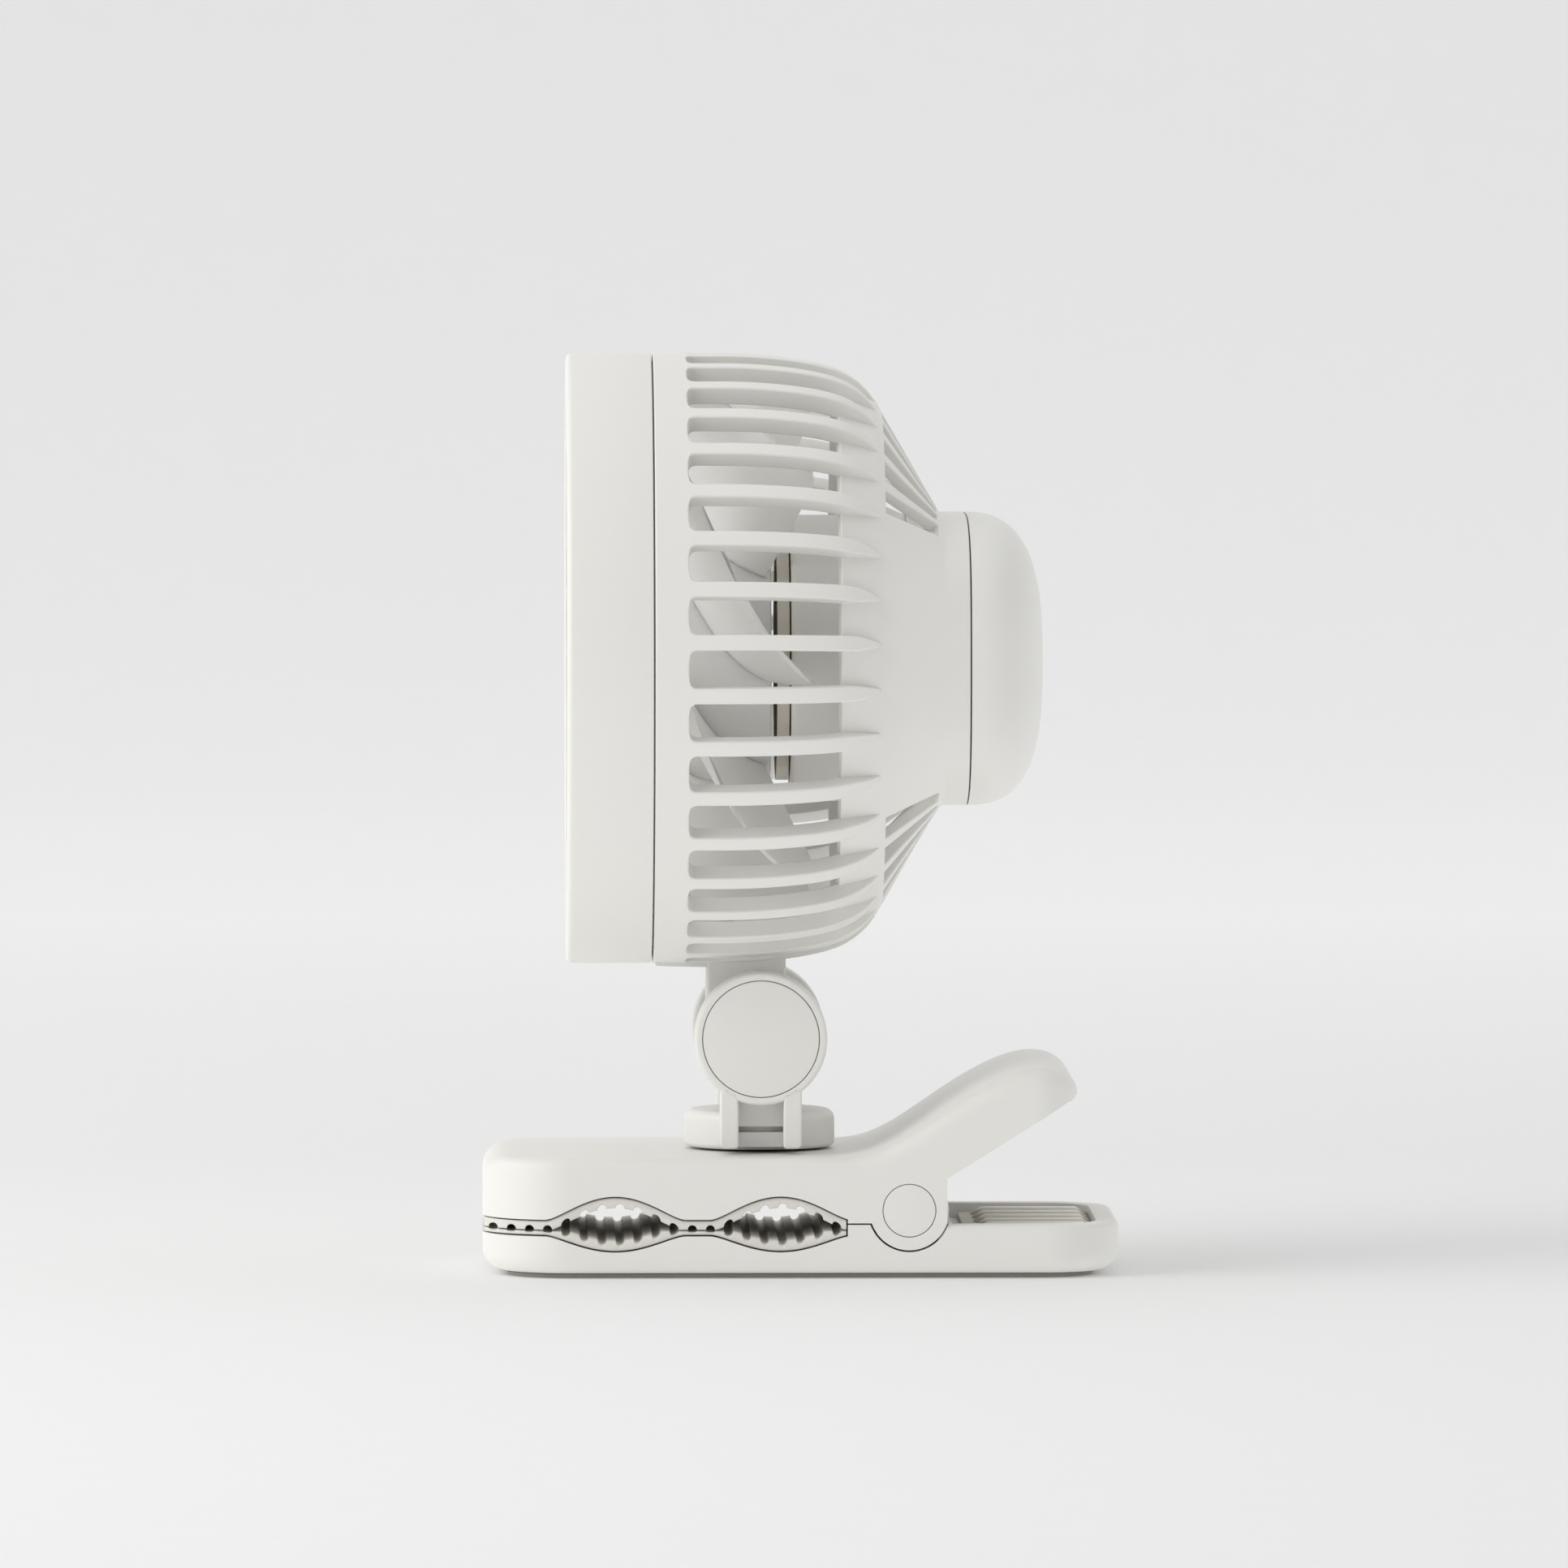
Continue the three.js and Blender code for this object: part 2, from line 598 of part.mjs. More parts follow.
// Torsion spring: a helix round the pin with one leg up to the upper jaw's roof and one
// leg down to the base plate, swept as one tube of five sides.
function torsionSpring() {
  const length = SPRING_TURNS * SPRING_PITCH;
  const perTurn = 8;
  const path = [];
  const roof = JAW_TOP - JAW_WALL - HINGE_Z - SEAT - SPRING_WIRE / 2;
  const floor = HINGE_Z - SOLE_THICK - BASE_PLATE_THICK - SEAT;
  path.push([-SPRING_RADIUS, -length / 2, -floor]);
  path.push([-SPRING_RADIUS, -length / 2, -floor / 2]);
  for (let i = 0; i <= SPRING_TURNS * perTurn; i++) {
    const angle = Math.PI + (2 * Math.PI * i) / perTurn;
    const y = lerp(-length / 2, length / 2, i / (SPRING_TURNS * perTurn));
    path.push([SPRING_RADIUS * Math.cos(angle), y, SPRING_RADIUS * Math.sin(angle)]);
  }
  path.push([-SPRING_RADIUS, length / 2, roof * 0.8]);
  const points = path.map((p) => new THREE.Vector3(...p));
  console.log("torsion_spring least gap to itself, mm:", leastGap(points, perTurn).toFixed(2));
  return sweptTube(points, SPRING_WIRE / 2, 5);
}

// Least clear distance between parts of a wire that lie half a turn or more apart.
function leastGap(points, perTurn) {
  let least = Infinity;
  for (let i = 0; i < points.length; i++)
    for (let j = i + Math.ceil(perTurn / 2); j < points.length; j++)
      least = Math.min(least, points[i].distanceTo(points[j]));
  return least - SPRING_WIRE;
}

// A closed tube of a few sides along points, each ring square to the path there.
function sweptTube(points, radius, sides) {
  let across = new THREE.Vector3(0, 1, 0);
  const rings = points.map((point, i) => {
    const before = points[Math.max(i - 1, 0)];
    const after = points[Math.min(i + 1, points.length - 1)];
    const ahead = after.clone().sub(before).normalize();
    across = across.clone().addScaledVector(ahead, -across.dot(ahead)).normalize();
    const up = ahead.clone().cross(across);
    return Array.from({ length: sides }, (_, k) => {
      const angle = (2 * Math.PI * k) / sides;
      const spot = point.clone().addScaledVector(across, radius * Math.cos(angle));
      return spot.addScaledVector(up, radius * Math.sin(angle)).toArray();
    });
  });
  const tip = (point) => Array.from({ length: sides }, () => point.toArray());
  return ringBody([tip(points[0]), ...rings, tip(points.at(-1))]);
}

// ---------------------------------------------------------------- upper jaw

// Side outline of the upper jaw. The ears reach down round the hinge.
function upperSide() {
  const under = TAIL_TOP + SEAT;
  const foot = (HINGE_Z - under) / BOSS_RADIUS;
  const first = 180 + THREE.MathUtils.radToDeg(Math.asin(foot));
  return [
    ...edgeLine(upperEdge, FRONT_X, MOUTH_END_X),
    [MOUTH_END_X, under],
    ...bossArc(BOSS_RADIUS, first, 540 - first),
    [EAR_REAR_X, under],
    [EAR_REAR_X, EAR_REAR_Z],
    [HANDLE_TIP_X - TIP_DRAFT, HANDLE_TIP_Z - HANDLE_LIP],
    ...upperTop(0),
    ...upperFront(0),
  ];
}

// The same jaw with its side edges rounded, and nothing taken from below.
function roundedUpper() {
  const outline = [
    [FRONT_X, -JAW_EDGE_ROUND],
    [HANDLE_TIP_X, -JAW_EDGE_ROUND],
    ...upperTop(0),
    ...upperFront(0),
  ];
  const shape = new THREE.Shape(outline.map(([x, z]) => new THREE.Vector2(x, z)));
  const geometry = new THREE.ExtrudeGeometry(shape, {
    depth: CLIP_WIDTH - 2 * JAW_EDGE_ROUND,
    bevelThickness: JAW_EDGE_ROUND,
    bevelSize: JAW_EDGE_ROUND,
    bevelOffset: -JAW_EDGE_ROUND,
    bevelSegments: 2,
  });
  geometry.applyMatrix4(DRAWN.y).translate(0, HALF_WIDTH - JAW_EDGE_ROUND, 0);
  return solidOf(geometry);
}

function upperJawShell() {
  const far = HALF_WIDTH + 1;
  const outer = common(
    roundedUpper(),
    prism(upperSide(), "y", -far, far),
    prism(clipPlan(0), "z", -JAW_EDGE_ROUND, HANDLE_CROWN_Z + 1),
  );
  const slope = (HANDLE_TIP_Z - HANDLE_LIP - EAR_REAR_Z) / (HANDLE_TIP_X - TIP_DRAFT - EAR_REAR_X);
  const lift = JAW_WALL * Math.hypot(1, slope);
  const hollow = [
    [FRONT_X + JAW_WALL, -1],
    [EAR_REAR_X + 0.01, -1],
    [EAR_REAR_X + 0.01, EAR_REAR_Z + lift],
    [HANDLE_TIP_X - 3 * JAW_WALL, EAR_REAR_Z + lift + slope * (HANDLE_TIP_X - 3 * JAW_WALL - EAR_REAR_X)],
    ...upperTop(JAW_WALL).filter(([x]) => x < HANDLE_TIP_X - 3 * JAW_WALL),
    ...upperFront(JAW_WALL),
  ];
  const cavity = common(
    prism(hollow, "y", -far, far),
    prism(clipPlan(JAW_WALL), "z", -1, HANDLE_CROWN_Z + 1),
  );
  const boss = (from, to) => atHinge(bar("y", BOSS_RADIUS, from, to));
  const capSeat = HALF_WIDTH - CAP_THICK - SEAT;
  return cut(
    join(
      cut(outer, cavity),
      boss(-HALF_WIDTH, -HALF_WIDTH + BOSS_THICK),
      boss(HALF_WIDTH - BOSS_THICK, HALF_WIDTH),
      ...PLATE_SCREW_X.map((x) => {
        const foot = upperEdge(x) + PLATE_THICK + SEAT;
        return shifted(bar("z", SCREW_BOSS_RADIUS, foot, JAW_TOP - JAW_WALL / 2, 16), x, 0, 0);
      }),
    ),
    atHinge(bar("y", PIN_RADIUS + SEAT, -far, far)),
    atHinge(bar("y", HINGE_CAP_RADIUS + SEAT, -far, -capSeat)),
    atHinge(bar("y", HINGE_CAP_RADIUS + SEAT, capSeat, far)),
    shifted(bar("z", SWIVEL_RADIUS + SEAT, UPPER_EDGE, JAW_TOP + 1), PIVOT_X, 0, 0),
    ...PLATE_SCREW_X.map((x) => plateScrew(x, SEAT)),
  );
}

const plateScrew = (x, clearance = 0) =>
  shifted(screwUp(PLATE_SCREW_LENGTH, clearance), x, 0, upperEdge(x) + SEAT);

// Plate inside the upper jaw that backs the pad.
function upperJawPlate() {
  const from = FRONT_X + JAW_WALL + SEAT;
  const to = MOUTH_END_X - SEAT;
  const outline = [
    ...edgeLine(upperEdge, from, to),
    ...edgeLine(upperEdge, from, to, PLATE_THICK).reverse(),
  ];
  const plate = common(
    prism(outline, "y", -HALF_WIDTH, HALF_WIDTH),
    prism(clipPlan(JAW_WALL + SEAT), "z", 0, JAW_TOP),
  );
  return cut(plate, ...PLATE_SCREW_X.map((x) => plateScrew(x, SEAT)));
}

// A flat round cap with a soft outer edge, its face towards -Y.
function roundCap(radius) {
  const edge = 0.4;
  const profile = [[0, 0], [0, radius - edge], [edge, radius], [CAP_THICK, radius], [CAP_THICK, 0]];
  return turned(profile, "y", 36);
}

// ---------------------------------------------------------------- yoke


// One ear: a disc on two legs, with a round recess for its cap.
function ear() {
  const at = (solid) => shifted(solid, 0, 0, TILT_Z);
  const disc = at(bar("y", EAR_RADIUS, EAR_INNER, EAR_OUTER, 36));
  const legs = [-1, 1].map((side) => {
    const [x0, x1] = side > 0 ? [LEG_INNER, LEG_OUTER] : [-LEG_OUTER, -LEG_INNER];
    return block(x0, x1, EAR_INNER, EAR_OUTER, TURRET_Z + LEG_LIFT, TILT_Z);
  });
  const [foot, head] = [TURRET_Z + LEG_LIFT, TILT_Z - EAR_RADIUS + 1];
  const web = block(-LEG_INNER - 1, LEG_INNER + 1, EAR_INNER, EAR_OUTER - WEB_RECESS, foot, head);
  return cut(
    join(disc, web, ...legs),
    at(bar("y", YOKE_CAP_RADIUS + SEAT, EAR_OUTER - CAP_THICK - SEAT, EAR_OUTER + 1, 36)),
    at(bar("y", BOLT_HEAD_RADIUS + SEAT, EAR_OUTER - 2 * BOLT_HEAD_HEIGHT, EAR_OUTER)),
  );
}

function swivelYoke() {
  const top = TURRET_Z + TURRET_HEIGHT;
  const soft = 1.2;
  const turret = turned(
    [
      [TURRET_Z, 0],
      [TURRET_Z, TURRET_RADIUS - soft / 2],
      [TURRET_Z + soft / 2, TURRET_RADIUS],
      [top - soft, TURRET_RADIUS],
      [top, TURRET_RADIUS - soft],
      [top, 0],
    ],
    "z",
    48,
  );
  const slitZ = TURRET_Z + SLIT_RISE;
  const web = EAR_OUTER - WEB_RECESS;
  const slit = block(-LEG_INNER, LEG_INNER, web - SLIT_DEPTH, web + 1, slitZ, slitZ + SLIT_HEIGHT);
  return cut(
    join(turret, ear(), turnedAbout(ear(), "z", 180)),
    slit,
    turnedAbout(slit, "z", 180),
    shifted(bar("y", BOLT_RADIUS + SEAT, -EAR_OUTER, EAR_OUTER), 0, 0, TILT_Z),
    bar("z", SWIVEL_RADIUS + SEAT, TURRET_Z - 1, top - 1.5),
  );
}

// Screw through the jaw's roof into the turret, head below the roof.
function swivelBolt() {
  const roof = JAW_TOP - JAW_WALL - SEAT;
  return turned(
    [
      [roof - BOLT_HEAD_HEIGHT, 0],
      [roof - BOLT_HEAD_HEIGHT, 4],
      [roof, 4],
      [roof, SWIVEL_RADIUS],
      [TURRET_Z + TURRET_HEIGHT - 2, SWIVEL_RADIUS],
      [TURRET_Z + TURRET_HEIGHT - 2, 0],
    ],
    "z",
  );
}

const slipWasher = () => washer("z", SWIVEL_RADIUS + SEAT, 10, JAW_TOP + SEAT, TURRET_Z - SEAT);

function tiltBolt() {
  const headSeat = EAR_OUTER - 2 * BOLT_HEAD_HEIGHT + SEAT;
  return turned(
    [
      [-headSeat - BOLT_HEAD_HEIGHT, 0],
      [-headSeat - BOLT_HEAD_HEIGHT, BOLT_HEAD_RADIUS],
      [-headSeat, BOLT_HEAD_RADIUS],
      [-headSeat, BOLT_RADIUS],
      [headSeat + BOLT_HEAD_HEIGHT - SEAT, BOLT_RADIUS],
      [headSeat + BOLT_HEAD_HEIGHT - SEAT, 0],
    ],
    "y",
  );
}

// Hexagon nut on the bolt's far end.
function tiltNut() {
  const from = EAR_OUTER - 2 * BOLT_HEAD_HEIGHT + SEAT;
  const to = from + BOLT_HEAD_HEIGHT;
  return cut(bar("y", BOLT_HEAD_RADIUS, from, to, 6), bar("y", BOLT_RADIUS + SEAT, from - 1, to + 1));
}

const frictionWasher = () =>
  washer("y", BOLT_RADIUS + SEAT, 8, KNUCKLE_HALF + SEAT, KNUCKLE_HALF + SEAT + WASHER_THICK);

// ---------------------------------------------------------------- neck


// Saddle plate under the drum, stem and knuckle, drawn about the tilt axis.
function neck() {
  const drum = shifted(
    bar("x", HEAD_RADIUS + SEAT, -CLIP_LENGTH, CLIP_LENGTH, 144),
    0,
    0,
    HEAD_Z - TILT_Z,
  );
  const drumFoot = HEAD_Z - TILT_Z - HEAD_RADIUS;
  const saddleFront = SEAM_X - PIVOT_X + 0.5;
  const saddle = block(
    saddleFront,
    STEM[1],
    -NECK_HALF,
    NECK_HALF,
    drumFoot - SEAT - SADDLE_THICK,
    drumFoot + 1,
  );
  const stem = block(STEM[0], STEM[1], -NECK_HALF, NECK_HALF, 0, drumFoot + 1);
  const screws = neckScrewPlaces().map((x) =>
    shifted(bar("z", 1 + SEAT, drumFoot - NECK_SCREW_LENGTH - 1, drumFoot + 1, 12), x, 0, 0),
  );
  return cut(
    join(saddle, stem, bar("y", KNUCKLE_RADIUS, -KNUCKLE_HALF, KNUCKLE_HALF, 36)),
    drum,
    bar("y", BOLT_RADIUS + SEAT, -EAR_OUTER, EAR_OUTER),
    ...screws,
  );
}

const neckScrewPlaces = () => [STEM[0] + 3, STEM[1] - 3];

// Screw that holds the neck under the drum, its head inside the drum.
function neckScrew() {
  const seat = HEAD_Z - TILT_Z - HEAD_RADIUS + RIB_DEPTH + SEAT;
  return turned(
    [
      [seat + 1.2, 0],
      [seat + 1.2, 2],
      [seat, 2],
      [seat, 1],
      [seat - RIB_DEPTH - SEAT - NECK_SCREW_LENGTH, 1],
      [seat - RIB_DEPTH - SEAT - NECK_SCREW_LENGTH, 0],
    ],
    "z",
    12,
  );
}

// ---------------------------------------------------------------- front guard

function guardRing() {
  const rear = SEAM_X - SEAT;
  const inner = HEAD_RADIUS - GUARD_WALL;
  const lip = HEAD_RADIUS - GUARD_LIP;
  const profile = [
    [HEAD_FRONT_X, lip],
    [HEAD_FRONT_X, HEAD_RADIUS - GUARD_CHAMFER],
    [HEAD_FRONT_X + GUARD_CHAMFER, HEAD_RADIUS],
    [rear, HEAD_RADIUS],
    [rear, inner],
    [HEAD_FRONT_X + GUARD_WALL, inner],
    [HEAD_FRONT_X + GUARD_WALL, lip],
    [HEAD_FRONT_X, lip],
  ];
  return turned(profile, "x", DRUM_FACET_COUNT);
}

// A swept vane between two radii, drawn in (Y, Z).
function vane(inner, outer, start, sweep) {
  const steps = 2;
  const middle = Array.from({ length: steps + 1 }, (_, i) => {
    const radius = lerp(inner, outer, i / steps);
    const angle = radians(start + (sweep * (radius - inner)) / (outer - inner));
    return new THREE.Vector2(radius * Math.cos(angle), radius * Math.sin(angle));
  });
  const side = (sign) =>
    middle.map((point, i) => {
      const ahead = middle[Math.min(i + 1, steps)].clone().sub(middle[Math.max(i - 1, 0)]);
      const across = new THREE.Vector2(-ahead.y, ahead.x).setLength((sign * VANE_THICK) / 2);
      return [point.x + across.x, point.y + across.y];
    });
  const from = HEAD_FRONT_X + GUARD_CHAMFER / 2;
  return prism([...side(1), ...side(-1).reverse()], "x", from, from + VANE_DEPTH);
}

function frontGuard() {
  const front = HEAD_FRONT_X + GUARD_CHAMFER / 2;
  const rear = front + VANE_DEPTH;
  const step = 360 / VANE_COUNT;
  const rim = HEAD_RADIUS - GUARD_LIP + 0.6;
  const split = VANE_SWEEP * ((MID_RING_RADIUS - GUARD_HUB_RADIUS) / (rim - GUARD_HUB_RADIUS));
  const outerVanes = Array.from({ length: VANE_COUNT }, (_, i) =>
    vane(MID_RING_RADIUS, rim, i * step + split, VANE_SWEEP - split),
  );
  const innerVanes = Array.from({ length: VANE_COUNT / 2 }, (_, i) =>
    vane(GUARD_HUB_RADIUS - 0.6, MID_RING_RADIUS, 2 * i * step, split),
  );
  const half = MID_RING_THICK / 2;
  const midRing = washer(
    "x",
    MID_RING_RADIUS - half,
    MID_RING_RADIUS + half,
    front,
    rear,
    VANE_COUNT,
  );
  const hub = bar("x", GUARD_HUB_RADIUS, front, rear, VANE_COUNT);
  const seat = bar("x", GUARD_CAP_RADIUS + SEAT, front - 1, front + CAP_THICK + SEAT, VANE_COUNT);
  return cut(join(guardRing(), midRing, hub, ...outerVanes, ...innerVanes), seat);
}

function guardCap() {
  const front = HEAD_FRONT_X + GUARD_CHAMFER / 2;
  return turned(
    [
      [front, 0],
      [front, GUARD_CAP_RADIUS - 0.5],
      [front + 0.5, GUARD_CAP_RADIUS],
      [front + CAP_THICK, GUARD_CAP_RADIUS],
      [front + CAP_THICK, 0],
    ],
    "x",
    36,
  );
}

// ---------------------------------------------------------------- rear shell

// Outer radius of the drum: straight, then a long soft curve that tightens to the shoulder.
function drumRadius(x) {
  const start = SLOT_X + BAND_LENGTH;
  const t = THREE.MathUtils.clamp((x - start) / (SHOULDER_X - start), 0, 1);
  return HEAD_RADIUS - (HEAD_RADIUS - SHOULDER_RADIUS) * (0.47 * t ** 2 + 0.53 * t ** 8);
}

// Radius of the hump's soft rectangle at an angle from the top.
function humpRadius(angle, halfHeight, halfWidth) {
  const up = (Math.abs(Math.cos(angle)) / halfHeight) ** 3;
  const side = (Math.abs(Math.sin(angle)) / halfWidth) ** 3;
  return (up + side) ** (-1 / 3);
}

// A ring of points round the head's axis at x, for a radius given by the angle.
function headRing(x, radiusAt, facets = DRUM_FACET_COUNT) {
  return Array.from({ length: facets }, (_, i) => {
    const angle = (2 * Math.PI * i) / facets;
    const radius = radiusAt(angle);
    return [x, radius * Math.sin(angle), radius * Math.cos(angle)];
  });
}

const roundRing = (x, radius) => headRing(x, () => radius);
const humpRing = (x, inset, halfWidth = HUMP_HALF_WIDTH) =>
  headRing(x, (angle) => humpRadius(angle, HUMP_HALF_HEIGHT - inset, halfWidth - inset));

// Plain band of the drum with the spigot that enters the front guard.
function drumBand() {
  const spigot = HEAD_RADIUS - GUARD_WALL - SEAT;
  const inner = HEAD_RADIUS - RIB_DEPTH;
  return turned(
    [
      [SEAM_X - SPIGOT_LENGTH, inner],
      [SEAM_X - SPIGOT_LENGTH, spigot],
      [SEAM_X, spigot],
      [SEAM_X, HEAD_RADIUS],
      [SLOT_X, HEAD_RADIUS],
      [SLOT_X, inner],
      [SEAM_X - SPIGOT_LENGTH, inner],
    ],
    "x",
    DRUM_FACET_COUNT,
  );
}

// One rib of the drum: a radial fin whose outer edge follows the drum.
function drumRib(degrees) {
  const from = SLOT_X - 1;
  const to = SHOULDER_X - 0.4;
  const steps = 6;
  const outer = Array.from({ length: steps + 1 }, (_, i) => {
    const x = lerp(from, to, 1 - (1 - i / steps) ** 1.6);
    return [x, drumRadius(x)];
  });
  const inner = [
    [PANEL_X + 0.6, drumRadius(PANEL_X) - RIB_DEPTH],
    [from, HEAD_RADIUS - RIB_DEPTH],
  ];
  const tail = [to, drumRadius(to) - 1.4];
  const fin = prism([...outer, tail, ...inner], "y", -RIB_WIDTH / 2, RIB_WIDTH / 2);
  return turnedAbout(fin, "x", degrees);
}

// Panel ring, slope, hump, bulkhead and motor cup: one closed wall, lofted from round to
// soft rectangle and back. The rings follow the outside first, then the inside.
function rearLoft() {
  const sunk = drumRadius(PANEL_X) - 3.1;
  const wall = SHELL_WALL;
  const lip = wall + SEAT;
  const bore = BEARING_RADIUS + SEAT;
  const cupFloor = CUP_FRONT_X + CUP_FLOOR;
  const bulkheadRear = BULKHEAD_X + BULKHEAD_THICK;
  return ringBody([
    roundRing(PANEL_X, sunk),
    roundRing(lerp(PANEL_X, SHOULDER_X, 0.55), lerp(sunk, SHOULDER_RADIUS, 0.38)),
    roundRing(SHOULDER_X, SHOULDER_RADIUS),
    humpRing(HUMP_X, 0, CHEEK_HALF_WIDTH),
    humpRing(CAP_X, 0),
    humpRing(CAP_X, lip),
    humpRing(CAP_X + SPIGOT_LENGTH, lip + SPIGOT_TAPER),
    humpRing(CAP_X + SPIGOT_LENGTH, lip + SPIGOT_WALL),
    humpRing(bulkheadRear, lip + SPIGOT_WALL, CHEEK_HALF_WIDTH),
    roundRing(bulkheadRear, CUP_RADIUS - wall),
    roundRing(cupFloor, CUP_RADIUS - wall),
    roundRing(cupFloor, bore),
    roundRing(CUP_FRONT_X, bore),
    roundRing(CUP_FRONT_X, CUP_RADIUS),
    roundRing(BULKHEAD_X, CUP_RADIUS),
    humpRing(BULKHEAD_X, 0, CHEEK_HALF_WIDTH),
    humpRing(HUMP_X - wall, 0, CHEEK_HALF_WIDTH),
    roundRing(SHOULDER_X - wall, SHOULDER_RADIUS - wall),
    roundRing(PANEL_X, sunk - wall),
  ]);
}

// One opening in the slope, drawn in (Y, Z): parallel sides from the shoulder to the hump.
function slopeSlot(degrees) {
  const angle = radians(degrees);
  const half = (SHOULDER_RADIUS * radians(360 / RIB_COUNT) - RIB_WIDTH) / 2;
  const inner = humpRadius(angle, HUMP_HALF_HEIGHT, CHEEK_HALF_WIDTH) + 1.2;
  const outer = SHOULDER_RADIUS - 1.2;
  const narrow = half * 0.72;
  const across = [Math.cos(angle), -Math.sin(angle)];
  const along = [Math.sin(angle), Math.cos(angle)];
  const at = (radius, side) => [
    along[0] * radius + across[0] * side,
    along[1] * radius + across[1] * side,
  ];
  const outline = [at(inner, -narrow), at(outer, -half), at(outer, half), at(inner, narrow)];
  return prism(outline, "x", SHOULDER_X - 5, HUMP_X + 0.2);
}

function rearShell() {
  const step = 360 / RIB_COUNT;
  const ribs = Array.from({ length: RIB_COUNT }, (_, i) => drumRib((i + 0.5) * step));
  const slots = [];
  for (let i = -SLOPE_SLOTS; i <= SLOPE_SLOTS; i++)
    slots.push(slopeSlot(i * step), slopeSlot(180 + i * step));
  const foot = block(
    SLOT_X - 1,
    STEM[1] + PIVOT_X,
    -NECK_HALF,
    NECK_HALF,
    -drumRadius(STEM[1] + PIVOT_X) + 0.1,
    -HEAD_RADIUS + RIB_DEPTH + 0.1,
  );
  const body = join(cut(rearLoft(), ...slots), drumBand(), foot, ...ribs);
  const holes = neckScrewPlaces().map((x) =>
    shifted(bar("z", 1 + SEAT, -HEAD_RADIUS - 1, -HEAD_RADIUS + RIB_DEPTH + 2, 12), x + PIVOT_X, 0, 0),
  );
  return cut(body, ...holes);
}

// ---------------------------------------------------------------- rear cap

// Rings of the cap from its rim to its pole, drawn in by a wall.
function capRings(inset, from, steps) {
  const depth = REAR_X - inset - CAP_X;
  return Array.from({ length: steps + 1 }, (_, i) => {
    const start = (from - CAP_X) / depth;
    const t = lerp(start, 1, 1 - (1 - i / steps) ** 1.8);
    const fall = Math.max(0, 1 - t ** 2.7);
    const halfHeight = Math.max((HUMP_HALF_HEIGHT - inset) * fall ** (1 / 3), 1e-6);
    const halfWidth = Math.max((HUMP_HALF_WIDTH - inset) * fall ** (1 / 4.2), 1e-6);
    const flat = i === steps;
    return headRing(CAP_X + depth * t, (angle) =>
      flat ? 0 : humpRadius(angle, halfHeight, halfWidth),
    );
  });
}

function rearCap() {
  const rim = CAP_X + SEAT;
  const outside = capRings(0, rim, 6);
  const shell = ringBody([...outside, ...capRings(SHELL_WALL, rim, 3).reverse()]);
  const outerSkin = ringBody([...outside, headRing(rim, () => 0)]);
  const posts = boardCorners().map(([y, z]) =>
    common(shifted(bar("x", 2.2, BOARD_X + BOARD_SIZE[0] + SEAT, REAR_X, 8), 0, y, z), outerSkin),
  );
  const [sx, sy, sz] = SOCKET_SIZE;
  const mouth = block(
    socketX() - SEAT,
    socketX() + sx + SEAT,
    -sy / 2 - SEAT,
    sy / 2 + SEAT,
    -HUMP_HALF_HEIGHT - 1,
    -HUMP_HALF_HEIGHT + sz,
  );
  return cut(
    join(shell, ...posts),
    bar("x", BUTTON_RADIUS + SEAT, BOARD_X + 6, REAR_X + 1, 36),
    mouth,
  );
}

const boardCorners = () => {
  const y = BOARD_SIZE[1] / 2 - 3;
  const z = BOARD_SIZE[2] / 2 - 3;
  return [[-y, -z], [y, -z], [-y, z], [y, z]];
};

const socketX = () => BOARD_X + BOARD_SIZE[0] + SEAT;

// ---------------------------------------------------------------- motor, shaft and fan

function motorPlate() {
  const rear = CUP_FRONT_X - SEAT;
  const front = rear - MOTOR_PLATE_THICK;
  return washer("x", BEARING_RADIUS + SEAT, PLATE_RADIUS, front, rear, 36);
}

function motor() {
  const front = CUP_FRONT_X + CUP_FLOOR + SEAT;
  const rear = front + MOTOR_LENGTH;
  const bore = SHAFT_RADIUS + SEAT;
  return turned(
    [
      [front, bore],
      [front, MOTOR_RADIUS - 1],
      [front + 1, MOTOR_RADIUS],
      [rear - 1, MOTOR_RADIUS],
      [rear, MOTOR_RADIUS - 1],
      [rear, 0],
      [shaftRear() + SEAT, 0],
      [shaftRear() + SEAT, bore],
      [front, bore],
    ],
    "x",
  );
}

const shaftRear = () => CUP_FRONT_X + CUP_FLOOR + SEAT + MOTOR_LENGTH - 3;
const shaftFront = () => shaftRear() - SHAFT_LENGTH;

function motorBearing() {
  const rear = CUP_FRONT_X - SEAT;
  const from = rear - MOTOR_PLATE_THICK;
  return washer("x", SHAFT_RADIUS + SEAT, BEARING_RADIUS, from, rear + CUP_FLOOR);
}

// Hub: a cup open to the rear with a boss on the shaft.
function impellerHub() {
  const radius = IMPELLER_HUB_RADIUS;
  const bore = SHAFT_RADIUS + SEAT;
  const boss = 5;
  return turned(
    [
      [HUB_FRONT_X, bore],
      [HUB_FRONT_X, radius * 0.6],
      [HUB_FRONT_X + 1.5, radius * 0.86],
      [HUB_FRONT_X + 5, radius],
      [HUB_REAR_X, radius],
      [HUB_REAR_X, radius - HUB_WALL],
      [HUB_FRONT_X + 5, radius - HUB_WALL],
      [HUB_FRONT_X + 2.4, radius * 0.7],
      [HUB_FRONT_X + 2.4, boss],
      [HUB_REAR_X - 0.4, boss],
      [HUB_REAR_X - 0.4, bore],
      [HUB_FRONT_X, bore],
    ],
    "x",
    4 * BLADE_COUNT,
  );
}

